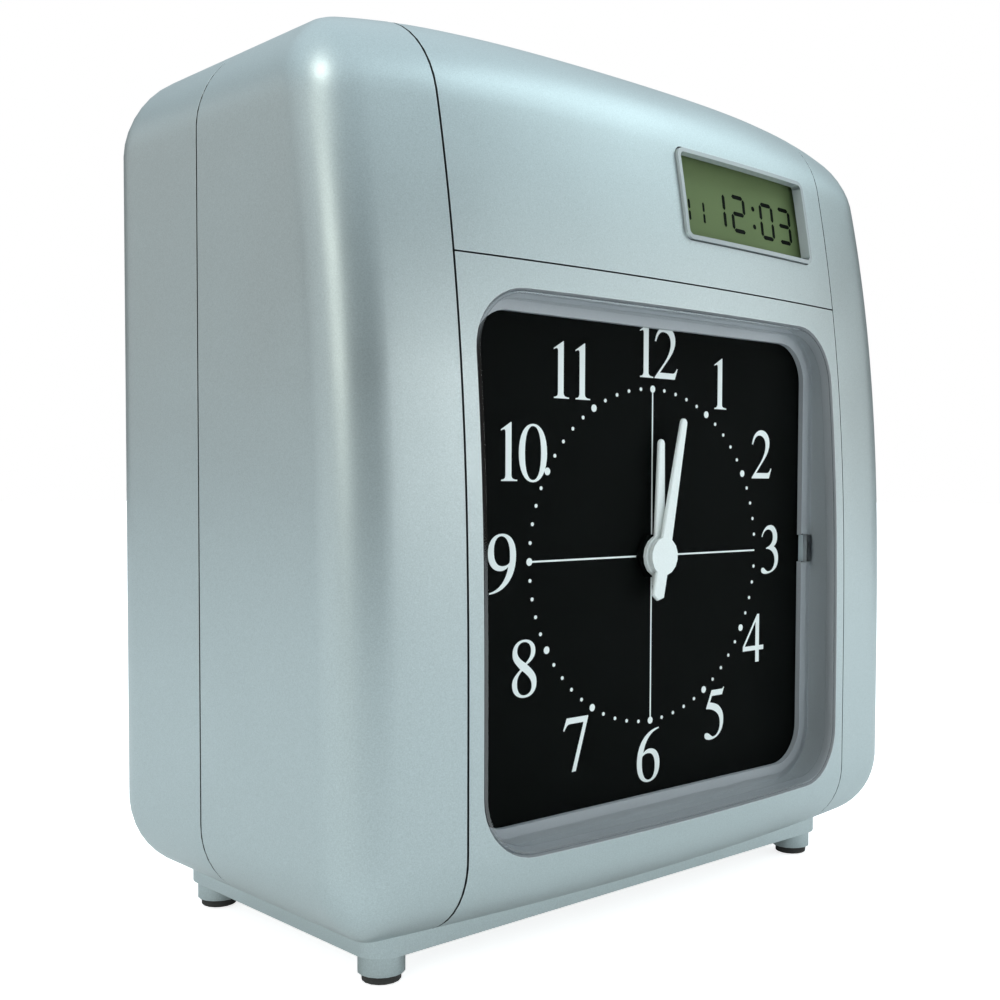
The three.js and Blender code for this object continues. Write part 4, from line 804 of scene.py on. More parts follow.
# %% Dial bezel
NET = 0.003
PANEL_BEVEL = 0.00025
DIAL_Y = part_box("clock_dial")[0][1]
WINDOW_HALF = 0.0653
WINDOW_LOW = 0.0276
WINDOW_HIGH = 0.1536
WINDOW_CORNER = 0.0147
WINDOW = (-WINDOW_HALF, WINDOW_HALF, WINDOW_LOW, WINDOW_HIGH, WINDOW_CORNER)
DIAL_Z = 0.0923
WELL = 0.0016
WELL_START = 0.001
LIP_WIDTH = 0.0042
LIP_THICKNESS = 0.0015
LIP_BACK_Y = DIAL_Y - 0.0004
LIP_FRONT_Y = LIP_BACK_Y - LIP_THICKNESS
LIP_BITE = 0.0003
SLOT_X = 0.06255
SLOT_HALF_WIDTH = 0.00145
SLOT_HALF_HEIGHT = 0.0041
SLOT_CORNER = 0.0003
PANEL_EDGE_X = PANEL_X - GAP
BEZEL_TOP_Z = HEADER_SEAM_Z - GAP


def window_loop(grow):
    """The dial opening's outline, grown or shrunk."""
    return rounded_loop(*WINDOW, grow=grow)


def at_y(loop, y):
    """A loop of X and Z pairs set at one Y."""
    return np.insert(loop, 1, y, axis=1)


def on_front(loop, depth):
    """A loop of X and Z pairs laid on the front face."""
    return front_at(loop[:, 0], loop[:, 1], depth)


def front_loop(loop, depth=0.0):
    """A loop of X and Z pairs as way and run."""
    return np.stack([loop[:, 0], run_at_height(loop[:, 0], loop[:, 1], depth)], axis=1)


def column_rows(half, low_run, high_run):
    """The outline of a panel between two upright edges, from its lower to its upper run."""
    xs = spaced(-half, half, NET)
    low_end, high_end = low_run(xs[:1])[0], high_run(xs[:1])[0]
    return polygon(
        (xs, low_run(xs)),
        (half, spaced(low_end, high_end, NET)),
        (-xs, high_run(-xs)),
        (-half, spaced(high_end, low_end, NET)),
    )


def notch_start(depth):
    """The lower edge of the centre panels, on the notch."""
    return lambda xs: bottom_run(cover_point, xs, depth, FAR_BACK)


def height_edge(z):
    """An edge at one height."""
    return lambda xs: run_at_height(xs, np.full_like(xs, z), 0)


def bent_patch(loops, point_of, outer_depth, inner_depth, step=NET):
    """A filled patch, bent into its outer and inner face."""
    flat, faces, numbers = net(loops, step)
    outer, inner = [point_of(flat[:, 0], flat[:, 1], depth) for depth in (outer_depth, inner_depth)]
    return [outer, inner, faces, numbers]


def upright_patch(loops, y_front, y_back, step=NET):
    """A flat patch that stands upright between two depths."""
    flat, faces, numbers = net(loops, step)
    return [at_y(flat, y_front), at_y(flat, y_back), faces, numbers]


def slot_loop(side):
    """The slot in the lip that a tab of the lens snaps into."""
    left, low = side * SLOT_X - SLOT_HALF_WIDTH, DIAL_Z - SLOT_HALF_HEIGHT
    right_edge, high = side * SLOT_X + SLOT_HALF_WIDTH, DIAL_Z + SLOT_HALF_HEIGHT
    return rounded_loop(left, right_edge, low, high, SLOT_CORNER)


def paint_faces(piece, material, chosen):
    """Gives one more material to the faces whose centres a test picks."""
    mesh = piece.data
    mesh.materials.append(material)
    centres = np.array([tuple(face.center) for face in mesh.polygons])
    for face, picked in zip(mesh.polygons, chosen(centres)):
        if picked:
            face.material_index = len(mesh.materials) - 1


def behind_skin(points):
    """How far points lie behind the outer face."""
    x, z = points[:, 0], points[:, 2]
    return points[:, 1] - front_at(x, np.minimum(z, SHOULDER_Z), 0)[:, 1]


def in_well(points):
    """Which points lie in the well, behind the front skin."""
    across = np.abs(points[:, 0]) < WINDOW_HALF + WELL
    upright = (points[:, 2] > WINDOW_LOW - WELL) & (points[:, 2] < WINDOW_HIGH + WELL)
    return across & upright & (behind_skin(points) > WELL_START)


bezel_outline = column_rows(PANEL_EDGE_X, notch_start(0), height_edge(BEZEL_TOP_Z))
bezel = bent_patch([bezel_outline, front_loop(window_loop(0))], cover_point, 0, PANEL)
bezel[1][bezel[3][1]] = on_front(window_loop(WELL), PANEL)
well_rings = [at_y(window_loop(0), LIP_BACK_Y), at_y(window_loop(WELL), LIP_BACK_Y)]
lip_loops = [window_loop(LIP_BITE), window_loop(-LIP_WIDTH), slot_loop(-1), slot_loop(1)]
skin = Skin()
skin.shell([bezel], {(0, 1): well_rings})
skin.shell([upright_patch(lip_loops, LIP_FRONT_Y, LIP_BACK_Y)])
piece = make_piece("bezel_shell", skin, silver_paint, "cover", ["dial_bezel"], PANEL_BEVEL)
paint_faces(piece, well_grey, in_well)

# %% [markdown]
# The header panel leans back and wraps over the top edge to the rear seam. It has two openings: one for
# the display and one for the card, whose funnel runs down inside. The display's opening is a little
# larger than the window's box in CAD, to the right and below, because the photograph shows it so.

# %% Header panel
OPENING_CORNER = 0.0025
OPENING_MARGINS = np.array((-0.0005, 0.0026, -0.001, 0.0004))
FINE_SPACING = 0.002
FIT = 0.0003
THROAT = (-0.0465, 0.0465, -0.0132, -0.0048, 0.0006)
THROAT_WALL = 0.0014
THROAT_BOTTOM_Z = 0.200
COVER_BACK_Y = REAR_SEAM_Y - GAP


def seen_box(node):
    """The left, right, lower and upper edge of a node's box, seen from the front."""
    low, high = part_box(node)
    return np.array((low[0], high[0], low[2], high[2]))


LCD = seen_box("lcd_window")
LCD_OPENING = (*(LCD + OPENING_MARGINS), OPENING_CORNER)


def lcd_loop(grow):
    """The display opening's outline, grown or shrunk."""
    return rounded_loop(*LCD_OPENING, spacing=FINE_SPACING, grow=grow)


def throat_loop(grow):
    """The card slot's outline in the top, as X and Y pairs."""
    return rounded_loop(*THROAT, spacing=FINE_SPACING, grow=grow)


def run_at_y(xs, y, depth=0.0):
    """The run at which the flat top reaches a Y."""
    start = cover_point(xs, np.full_like(xs, TOP_RUN), depth)[..., 1]
    return TOP_RUN + y - start


def top_loop(loop, depth=0.0):
    """A loop of X and Y pairs as way and run."""
    return np.stack([loop[:, 0], run_at_y(loop[:, 0], loop[:, 1], depth)], axis=1)


def seam_edge(depth=0.0):
    """The rear edge of the centre panels, at the seam to the rear case."""
    return lambda xs: run_at_y(xs, COVER_BACK_Y, depth)


def at_z(loop, z):
    """A loop of X and Y pairs set at one height."""
    return np.insert(loop, 2, z, axis=1)


throat, wide_throat = throat_loop(0), throat_loop(THROAT_WALL)
header_outline = column_rows(PANEL_EDGE_X, height_edge(HEADER_SEAM_Z + GAP), seam_edge())
header = bent_patch([header_outline, front_loop(lcd_loop(FIT)), top_loop(throat)], cover_point, 0, PANEL)
header[1][header[3][1]] = on_front(lcd_loop(FIT), PANEL)
header[1][header[3][2]] = top_point(wide_throat[:, 0], wide_throat[:, 1], PANEL)
funnel_rings = [at_z(throat, THROAT_BOTTOM_Z), at_z(wide_throat, THROAT_BOTTOM_Z)]
skin = Skin()
skin.shell([header], {(0, 2): funnel_rings})
make_piece("header_shell", skin, silver_paint, "cover", ["header_panel"], PANEL_BEVEL)

# %% [markdown]
# The cover itself is two cheeks, each with a rounded corner. A cheek is one patch round the corner and
# one on the crowned top, which meet on the rounded edge. The right cheek has the hole for the lock. A
# recessed web behind the centre panels joins the cheeks. It is a piece of its own in bare dark plastic,
# so the seams of the panels look dark.

# %% Front cover
CHEEK_START = PANEL_X + GAP
FINE = 0.0025
RIM_STEP = 0.0015
LOCK_BOX = np.array(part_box("lock_housing"))
LOCK_MIDDLE = LOCK_BOX[:, 1:].mean(axis=0)
LOCK_RADIUS = (LOCK_BOX[1, 1] - LOCK_BOX[0, 1]) / 2 + FIT
LOCK_STEPS = 48
WEB_DEPTH = PANEL + 0.0003
WEB = 0.002
WEB_REACH = PANEL_X + WELL
WEB_DISPLAY_MARGIN = 0.0042


def ways_round(start, stops, step):
    """Ways from a start to the seam, closer together round the corner."""
    to_corner, corner_end, side_end = stops
    rows = [(start, to_corner, step), (to_corner, corner_end, RIM_STEP), (corner_end, side_end, step)]
    return np.concatenate([*(spaced(*row) for row in rows), [side_end]])


def wall_patch(point_of, ways, notch_y, step, holes):
    """A wall from the notch up to where the rounded edge meets the top, over a row of ways."""
    low = bottom_run(point_of, ways, 0, notch_y)
    outline = polygon(
        (ways[:-1], low[:-1]),
        (ways[-1], spaced(low[-1], TOP_RUN, step)),
        (ways[:0:-1], TOP_RUN),
        (ways[0], spaced(TOP_RUN, low[0], step)),
    )
    wall = bent_patch([outline, *holes], point_of, 0, WALL, step)
    start = wall[3][0][: len(ways) - 1]
    inner_low = bottom_run(point_of, ways[:-1], WALL, notch_y)
    wall[1][start] = point_of(ways[:-1], inner_low, WALL)
    return wall


def edge_row(point_of, ways):
    """X and Y of the points where the rounded edge meets the top."""
    return point_of(ways, np.full_like(ways, TOP_RUN), 0)[:, :2]


def top_patch(outline, step):
    """The part of the crowned top inside an outline of X and Y pairs."""
    flat, faces, numbers = net([outline], step)
    return [*(top_point(flat[:, 0], flat[:, 1], depth) for depth in (0, WALL)), faces, numbers]


def wall_run(z):
    """The run at which an upright wall reaches a height."""
    return CURL_RUN + z - CURL_TOP_Z


def circle_loop(middle, radius, count):
    """A circle round a middle, with a number of points."""
    angles = 2 * math.pi * np.arange(count) / count
    return middle + radius * np.stack([np.cos(angles), np.sin(angles)], axis=1)


def side_way(y, z):
    """The way at which a cheek's side reaches a Y at one height."""
    centre_y = front_corner(z, 0 * z)[2]
    return CORNER_END + (y - centre_y) / (COVER_BACK_Y - centre_y) * (SIDE_END - CORNER_END)


def cheek_patches(holes):
    """The right cheek: its wall and its part of the top."""
    ways = ways_round(CHEEK_START, COVER_STOPS, FINE)
    x, y = edge_row(cover_point, ways).T
    top_outline = polygon(
        (x, y),
        (spaced(x[-1], CHEEK_START, FINE)[1:], COVER_BACK_Y),
        (CHEEK_START, spaced(COVER_BACK_Y, y[0], FINE)),
    )
    return [wall_patch(cover_point, ways, FAR_BACK, FINE, holes), top_patch(top_outline, FINE)]


def mirrored(patches):
    """The same patches on the other side."""
    flip = np.array([-1, 1, 1])
    return [[p[0] * flip, p[1] * flip, [tuple(reversed(f)) for f in p[2]], p[3]] for p in patches]


lock_y, lock_z = circle_loop(LOCK_MIDDLE, LOCK_RADIUS, LOCK_STEPS).T
lock_hole = np.stack([side_way(lock_y, lock_z), wall_run(lock_z)], axis=1)
skin = Skin()
skin.shell(cheek_patches([lock_hole]))
skin.shell(mirrored(cheek_patches([])))
make_piece("cover_shell", skin, silver_paint, "cover", ["front_cover"], PANEL_BEVEL)

web_loops = [
    column_rows(WEB_REACH, notch_start(WEB_DEPTH), seam_edge(WEB_DEPTH)),
    front_loop(window_loop(WELL + NOTCH_GAP), WEB_DEPTH),
    front_loop(lcd_loop(WEB_DISPLAY_MARGIN), WEB_DEPTH),
    top_loop(throat_loop(THROAT_WALL + NOTCH_GAP), WEB_DEPTH),
]
skin = Skin()
skin.shell([bent_patch(web_loops, cover_point, WEB_DEPTH, WEB_DEPTH + WEB)])
make_piece("cover_web", skin, raw_plastic, "cover")

# %% [markdown]
# The rear case is made the same way: one patch from the right seam round the back to the left seam, and
# one for the top. The back wall has the hole for the power inlet.

# %% Rear case
INLET_CORNER = 0.0008
inlet_loop = rounded_loop(
    *(seen_box("dc_inlet") + FIT * np.array((-1, 1, -1, 1))), INLET_CORNER, spacing=FINE_SPACING
)
inlet_hole = np.stack([-inlet_loop[:, 0], wall_run(inlet_loop[:, 1])], axis=1)
half_ways = ways_round(0, REAR_STOPS, NET)
rear_ways = np.concatenate([-half_ways[:0:-1], half_ways])
x, y = edge_row(rear_point, rear_ways).T
rear_top_outline = polygon((x, y), (spaced(x[-1], x[0], NET)[1:], REAR_SEAM_Y + GAP))
skin = Skin()
skin.shell([
    wall_patch(rear_point, rear_ways, NOTCH_REAR_Y, NET, [inlet_hole]),
    top_patch(rear_top_outline, NET),
])
make_piece("rear_shell", skin, silver_paint, "chassis", ["rear_case"], PANEL_BEVEL)

# %% [markdown]
# The lens is a clear tray: a face that follows the bow, a rounded rim, and walls that go back to the lip.
# Its rings run from the face over the rim, down the outside, round the foot and up the inside. Its face
# is almost invisible. The rim gets a darker and glossier copy of the clear finish. Its darker tint is
# painted shade that stands in for the light which thick plastic bends and reflects there. The two tabs
# are cloudy like the display's frame.

# %% Dial lens
LENS_INSET = 0.0002
LENS_THICKNESS = 0.0016
LENS_WALL = 0.0016
LENS_EDGE = 0.0009
LENS_INNER_EDGE = 0.0012
LENS_FIT = 0.0003
LENS_RIM = -LENS_FIT - LENS_EDGE
LENS_HOLLOW = -LENS_FIT - LENS_WALL
LENS_INSIDE = LENS_INSET + LENS_THICKNESS
LENS_BACK_Y = LIP_FRONT_Y - LENS_FIT
EDGE_STEPS = 5
TAB_HALF = (0.00115, 0.0038)
TAB_BITE = 0.0014
MARGIN = 0.0001


def rolled(grow, radius, depth):
    """Rings that roll from a face outwards and back, round a quarter circle, to an outline."""
    rings = []
    for i in range(1, EDGE_STEPS + 1):
        angle = QUARTER * i / EDGE_STEPS
        ring = on_front(window_loop(grow - radius * (1 - math.sin(angle))), depth)
        ring[:, 1] += radius * (1 - math.cos(angle))
        rings.append(ring)
    return rings


def box_loop(middle, half):
    """A plain rectangle round a middle."""
    return middle + np.array([(-1, -1), (1, -1), (1, 1), (-1, 1)]) * half


def on_painted_lens_rim(points):
    """Which points lie on the rounded edge of the tray, which gets the painted shade of the rim."""
    beside_face = ~inside_and_clear(points[:, [0, 2]], [window_loop(LENS_RIM)], 0)
    return beside_face & (behind_skin(points) < LENS_EDGE)


def on_tab(points):
    """Which points lie on the snap tabs."""
    return points[:, 1] > LENS_BACK_Y + MARGIN


inner_outline = window_loop(LENS_HOLLOW - LENS_INNER_EDGE)
lens = bent_patch([front_loop(inner_outline, LENS_INSET)], cover_point, LENS_INSET, LENS_INSIDE)
lens[0][lens[3][0]] = on_front(window_loop(LENS_RIM), LENS_INSET)
lens[1][lens[3][0]] = on_front(inner_outline, LENS_INSIDE)
lens_rings = [
    *rolled(-LENS_FIT, LENS_EDGE, LENS_INSET),
    at_y(window_loop(-LENS_FIT), LENS_BACK_Y),
    at_y(window_loop(LENS_HOLLOW), LENS_BACK_Y),
    *reversed(rolled(LENS_HOLLOW, LENS_INNER_EDGE, LENS_INSIDE)),
]
skin = Skin()
skin.shell([lens], {(0, 0): lens_rings})
for side in (-1, 1):
    tab = box_loop((side * SLOT_X, DIAL_Z), TAB_HALF)
    skin.shell([upright_patch([tab], LENS_BACK_Y - TAB_BITE, LIP_BACK_Y - LENS_FIT, 0)])
piece = make_piece(
    "dial_lens", skin, clear_plastic, "cover", ["dial_window"], smooth_angle=50
)
# The rim faces get the painted shade of the darker clear copy.
paint_faces(piece, clear_rim_painted_shade, on_painted_lens_rim)
paint_faces(piece, frame_clear, on_tab)

# %% [markdown]
# The display's window is moulded clear too: a raised frame round a sunk pane. The frame is cloudy and
# fills its opening, so it is a little larger than its solid.

# %% Display window
FRAME_PROUD = 0.0008
FRAME_WIDTH = 0.0011
FRAME_BEVEL = 0.0004
PANE_DEPTH = 0.0021
PANE_BACK = 0.0027
PANE_SIDE = 0.0004
frame_inside = lcd_loop(-FRAME_WIDTH)
pane = bent_patch([front_loop(frame_inside, PANE_DEPTH)], cover_point, PANE_DEPTH, PANE_BACK)
pane[1][pane[3][0]] = on_front(lcd_loop(0), PANE_BACK)
pane_rings = [on_front(frame_inside, -FRAME_PROUD), on_front(lcd_loop(0), -FRAME_PROUD)]
skin = Skin()
skin.shell([pane], {(0, 0): pane_rings})
piece = make_piece(
    "display_pane", skin, clear_plastic, "cover", ["lcd_window"], FRAME_BEVEL, 3
)


def on_frame(points):
    """Which points lie on the raised frame round the pane, its back left out."""
    x, z = points[:, 0], points[:, 2]
    left, right_edge, low, high, _ = LCD_OPENING
    inner = FRAME_WIDTH + MARGIN
    in_sight = (x > left + inner) & (x < right_edge - inner) & (z > low + inner) & (z < high - inner)
    return ~in_sight & (behind_skin(points) < PANE_DEPTH - PANE_SIDE)


paint_faces(piece, frame_clear, on_frame)

# %% [markdown]
# The dial's print is paint on the plate: a ring of sixty dots, larger ones for the hours, two thin lines
# and plain numbers. The dots repeat, so Geometry Nodes set them: a circle with one point per minute
# carries a small disc at each. The hour dots are the same tree with twelve points and a larger disc.

# %% Dots of the dial
RING_RADIUS = 0.042
DOT_SIDES = 20
PRINT_HEIGHT = 0.00006
PRINT_Y = DIAL_Y - PRINT_HEIGHT / 2
# Each ring's count of points, the radius of its dots and which points it skips.
RINGS = {"minute_dots": (60, 0.00046, 5), "hour_dots": (12, 0.0009, 13)}
INPUT_KINDS = {
    "Count": "NodeSocketInt",
    "Ring radius": "NodeSocketFloat",
    "Dot radius": "NodeSocketFloat",
    "Height": "NodeSocketFloat",
    "Skip": "NodeSocketInt",
    "Finish": "NodeSocketMaterial",
}


def ring_of_dots():
    """A tree that sets round dots on a circle and gives them a material, and its inputs' identifiers."""
    tree = bpy.data.node_groups.new("ring_of_dots", "GeometryNodeTree")
    identifiers = {}
    for label, kind in INPUT_KINDS.items():
        socket = tree.interface.new_socket(label, in_out="INPUT", socket_type=kind)
        identifiers[label] = socket.identifier
    tree.interface.new_socket("Geometry", in_out="OUTPUT", socket_type="NodeSocketGeometry")
    given = new_node(tree, "NodeGroupInput").outputs
    circle_values = {"Vertices": given["Count"], "Radius": given["Ring radius"]}
    circle = new_node(tree, "GeometryNodeMeshCircle", circle_values).outputs["Mesh"]
    disc_values = {"Vertices": DOT_SIDES, "Radius": given["Dot radius"], "Depth": given["Height"]}
    disc = new_node(tree, "GeometryNodeMeshCylinder", disc_values).outputs["Mesh"]
    number = new_node(tree, "GeometryNodeInputIndex").outputs[0]
    rest = math_node(tree, "MODULO", number, given["Skip"])
    chosen = math_node(tree, "GREATER_THAN", rest, 0.5)
    spread_values = {"Points": circle, "Instance": disc, "Selection": chosen}
    spread = new_node(tree, "GeometryNodeInstanceOnPoints", spread_values).outputs["Instances"]
    real = new_node(tree, "GeometryNodeRealizeInstances", {"Geometry": spread}).outputs["Geometry"]
    paint_values = {"Geometry": real, "Material": given["Finish"]}
    painted = new_node(tree, "GeometryNodeSetMaterial", paint_values).outputs["Geometry"]
    new_node(tree, "NodeGroupOutput", {"Geometry": painted})
    return tree, identifiers


def grown_from_nodes(name, tree, identifiers, values):
    """Runs a tree on an empty mesh and returns its result as a plain mesh."""
    carrier = bpy.data.objects.new(name, bpy.data.meshes.new(name))
    scene.collection.objects.link(carrier)
    modifier = carrier.modifiers.new(name, "NODES")
    modifier.node_group = tree
    for label, value in values.items():
        modifier[identifiers[label]] = value
    evaluated = carrier.evaluated_get(bpy.context.evaluated_depsgraph_get())
    mesh = bpy.data.meshes.new_from_object(evaluated)
    bpy.data.objects.remove(carrier)
    mesh.name = name
    return mesh


dots_tree, dots_inputs = ring_of_dots()
stand_up = Matrix.Translation((0, PRINT_Y, DIAL_Z)) @ Matrix.Rotation(math.radians(90), 4, "X")
for name, (count, radius, skip) in RINGS.items():
    values = {
        "Count": count,
        "Ring radius": RING_RADIUS,
        "Dot radius": radius,
        "Height": PRINT_HEIGHT,
        "Skip": skip,
        "Finish": print_white,
    }
    mesh = grown_from_nodes(name, dots_tree, dots_inputs, values)
    mesh.transform(stand_up)
    place_piece(name, mesh, "chassis")

# %% [markdown]
# The numbers are drawn as outlines of straight and curved strokes in a 1000-unit square, as a typeface
# is, then scaled to 13 mm, filled and given the thickness of print.

# %% Numbers and lines of the dial
DIGITS = {
    "0": (
        "M250 676 C385 676 476 540 476 330 C476 122 385 -14 250 -14 C115 -14 24 122 24 330"
        " C24 540 115 676 250 676 Z M250 650 C335 650 380 530 380 330 C380 130 335 12 250 12"
        " C165 12 120 130 120 330 C120 530 165 650 250 650 Z"
    ),
    "1": (
        "M354 0 L104 0 L104 15 C154 18 170 35 170 74 L170 554 C170 585 162 597 146 597"
        " C138 597 124 593 111 587 L99 582 L99 596 L255 687 L262 684 L262 74 C262 35 282 18 354 15 Z"
    ),
    "2": (
        "M475 137 L462 142 C429 91 413 76 370 76 L128 76 L296 252 C385 345 424 421 424 499"
        " C424 599 343 676 239 676 C184 676 132 654 95 614 C63 580 48 548 31 477 L52 472"
        " C92 570 128 602 197 602 C281 602 338 545 338 461 C338 383 292 290 208 201 L30 12"
        " L30 0 L420 0 Z"
    ),
    "3": (
        "M61 510 C92 582 133 614 196 614 C262 614 308 571 308 508 C308 460 288 424 250 396"
        " C225 378 204 368 153 354 L153 340 C187 340 205 338 226 331 C308 306 352 250 352 176"
        " C352 87 292 18 213 18 C184 18 162 27 122 56 C104 69 92 74 80 74 C59 74 43 59 43 38"
        " C43 6 80 -14 144 -14 C234 -14 327 15 380 63 C413 97 431 141 431 201 C431 246 418 290"
        " 395 319 C379 340 363 352 327 370 C384 404 405 439 405 502 C405 602 332 676 246 676"
        " C158 676 83 620 45 514 Z"
    ),
    "4": (
        "M472 167 L472 231 L370 231 L370 676 L326 676 L12 231 L12 167 L293 167 L293 0 L370 0"
        " L370 167 Z M292 231 L52 231 L292 574 Z"
    ),
    "5": (
        "M438 681 L429 688 C414 667 404 662 383 662 L174 662 L65 425 C64 415 68 412 76 412"
        " C108 412 148 405 189 392 C304 355 357 293 357 194 C357 98 296 23 218 23"
        " C198 23 181 30 151 52 C119 75 96 85 75 85 C46 85 32 73 32 48 C32 10 79 -14 154 -14"
        " C238 -14 310 13 360 64 C406 109 427 166 427 242 C427 314 408 360 358 410"
        " C314 454 257 477 139 498 L181 583 L377 583 C393 583 397 585 400 592 Z"
    ),
    "6": (
        "M446 684 L448 668 C290 642 187 530 152 373 C197 408 232 420 277 420 C392 420 468 338"
        " 468 211 C468 76 384 -14 251 -14 C184 -14 127 13 88 60 C52 106 34 170 34 247"
        " C34 401 98 533 218 611 C281 652 346 674 446 684 Z M378 188 C378 300 330 364 246 364"
        " C193 364 166 353 138 330 C127 313 127 292 127 245 C127 103 177 14 263 14"
        " C337 14 378 81 378 188 Z"
    ),
    "7": (
        "M449 646 L449 662 L79 662 L20 515 L37 507 C80 575 98 588 153 588 L370 588 L172 -8"
        " L237 -8 Z"
    ),
    "8": (
        "M445 155 C445 239 411 287 290 377 C389 430 424 472 424 540 C424 620 353 676 251 676"
        " C139 676 62 610 62 516 C62 449 84 419 187 325 C81 245 56 209 56 147"
        " C56 51 134 -14 248 -14 C368 -14 445 52 445 155 Z"
        " M356 540 C356 482 331 442 268 395 C173 450 134 490 134 545 C134 608 178 648 244 648"
        " C313 648 356 606 356 540 Z"
        " M369 119 C369 57 322 14 254 14 C177 14 132 70 132 155 C132 221 154 261 214 309"
        " C330 233 369 184 369 119 Z"
    ),
}
CURVE_STEPS = 8
EM = 0.0000196
NINE_TURN = np.array((502, 662))


def outlines_of(path):
    """Closed polylines from a path of moves, lines and cubic curves."""
    loops, points = [], []
    for command, text in re.findall("([MLCZ])([^MLCZ]*)", path):
        numbers = np.array(text.split(), dtype=float).reshape(-1, 2)
        if command == "Z":
            if np.allclose(points[0], points[-1]):
                points.pop()
            loops.append(np.array(points))
            points = []
        elif command == "C":
            corners = (points[-1], *numbers)
            for step in range(1, CURVE_STEPS + 1):
                t = step / CURVE_STEPS
                weights = ((1 - t) ** 3, 3 * t * (1 - t) ** 2, 3 * t * t * (1 - t), t**3)
                points.append(sum(w * p for w, p in zip(weights, corners)))
        else:
            points.append(numbers[0])
    return loops


def digit_loops(digit):
    """The outlines of one digit; a nine is a six turned round."""
    if digit == "9":
        return [NINE_TURN - loop for loop in outlines_of(DIGITS["6"])]
    return outlines_of(DIGITS[digit])


def raised_print(skin, loops, y_front, y_back):
    """Fills loops of X and Z pairs and gives them the thickness of print."""
    skin.shell([upright_patch(loops, y_front, y_back, 0)])


# Where each number's middle lies, from the dial's centre.
NUMBER_PLACES = {
    "1": (0.0267, 0.0445),
    "2": (0.0449, 0.0262),
    "3": (0.0490, 0.0),
    "4": (0.0420, -0.0245),
    "5": (0.0255, -0.0434),
    "6": (-0.0006, -0.0510),
    "7": (-0.0266, -0.0445),
    "8": (-0.0434, -0.0247),
    "9": (-0.0504, 0.0),
    "10": (-0.0448, 0.0252),
    "11": (-0.0284, 0.0447),
    "12": (0.0012, 0.0513),
}
# How far apart two digits stand, and a little more before a wide one.
DIGIT_PITCH = 0.0071
WIDE_SHIFT = 0.0003
DIGIT_MIDDLE_Z = 331


def digit_offsets(text):
    """How far the middle of each digit lies beside the middle of its number."""
    if len(text) == 1:
        return [0]
    return [-DIGIT_PITCH / 2, DIGIT_PITCH / 2 + (0 if text[1] == "1" else WIDE_SHIFT)]


skin = Skin()
for text, (middle_x, middle_z) in NUMBER_PLACES.items():
    for digit, offset in zip(text, digit_offsets(text)):
        loops = digit_loops(digit)
        middle = np.array(((loops[0][:, 0].min() + loops[0][:, 0].max()) / 2, DIGIT_MIDDLE_Z))
        place = np.array((middle_x + offset, DIAL_Z + middle_z))
        placed = [place + (loop - middle) * EM for loop in loops]
        raised_print(skin, placed, DIAL_Y - PRINT_HEIGHT, DIAL_Y)
make_piece("dial_numbers", skin, print_white, "chassis")

LINE_HALF_WIDTH = 0.00021
LINE_HEIGHT = PRINT_HEIGHT * 0.8
skin = Skin()
for half in ((LINE_HALF_WIDTH, RING_RADIUS), (RING_RADIUS, LINE_HALF_WIDTH)):
    raised_print(skin, [box_loop((0, DIAL_Z), half)], DIAL_Y - LINE_HEIGHT, DIAL_Y)
make_piece("dial_lines", skin, print_white, "chassis")

# %% [markdown]
# The display is tilted behind its window, square to the leaning header. Its digits are made of seven
# bars each, as a liquid crystal shows them: a hexagon per bar, slanted a little, almost black.

# %% Display digits
LCD_DEPTH = 0.0039
GLASS = (-0.0265, 0.0326, -0.0113, 0.0113, 0.0004)
GLASS_THICKNESS = 0.0006
GLASS_BEVEL = 0.0001
BAR = 0.00115
BAR_GAP = 0.00018
SLANT = 0.08
INK_HEIGHT = 0.00005
# A digit's lowest height, its width and height, and the thickness of its bars.
LARGE = (-0.0067, 0.0064, 0.0106, BAR)
SMALL = (-0.0070, 0.0042, 0.0070, BAR * 0.7)
# The display's digits: which one, where its left edge lies, and its size.
SHOWN = [
    ("1", -0.0108, LARGE),
    ("2", -0.0019, LARGE),
    ("0", 0.0112, LARGE),
    ("3", 0.0195, LARGE),
    ("1", -0.0179, SMALL),
    ("1", -0.0239, SMALL),
]
COLON_X = 0.0082
COLON_HEIGHTS = (-0.0038, 0.0013)
COLON_RADIUS = 0.0007
COLON_SIDES = 16
# Bars of a digit: across in widths, up in half heights, for both ends.
BARS = {
    "top": ((0, 2), (1, 2)),
    "middle": ((0, 1), (1, 1)),
    "bottom": ((0, 0), (1, 0)),
    "upper_left": ((0, 1), (0, 2)),
    "upper_right": ((1, 1), (1, 2)),
    "lower_left": ((0, 0), (0, 1)),
    "lower_right": ((1, 0), (1, 1)),
}
SHOWN_BARS = {
    "0": ("top", "bottom", "upper_left", "upper_right", "lower_left", "lower_right"),
    "1": ("upper_right", "lower_right"),
    "2": ("top", "upper_right", "middle", "lower_left", "bottom"),
    "3": ("top", "upper_right", "middle", "lower_right", "bottom"),
}

lcd_x, lcd_z = (LCD[0] + LCD[1]) / 2, (LCD[2] + LCD[3]) / 2
lcd_y = lean_y(lcd_z) + BOW - math.sqrt(BOW**2 - lcd_x**2) + LCD_DEPTH
lcd_lean = math.atan2(lean_y(LCD[3]) - lean_y(LCD[2]), LCD[3] - LCD[2])
lcd_frame = (
    Matrix.Translation((lcd_x, lcd_y, lcd_z))
    @ Matrix.Rotation(-lcd_lean, 4, "X")
    @ Matrix.Rotation(math.asin(lcd_x / BOW), 4, "Z")
)


def set_in_header(skin):
    """Moves a skin from the display's own plane to its place in the header."""
    skin.points = [tuple(lcd_frame @ Vector(p)) for p in skin.points]


def ink(skin, loop):
    """Adds one dark spot of the display, in the display's own plane."""
    raised_print(skin, [loop], -GLASS_THICKNESS - INK_HEIGHT, -GLASS_THICKNESS)


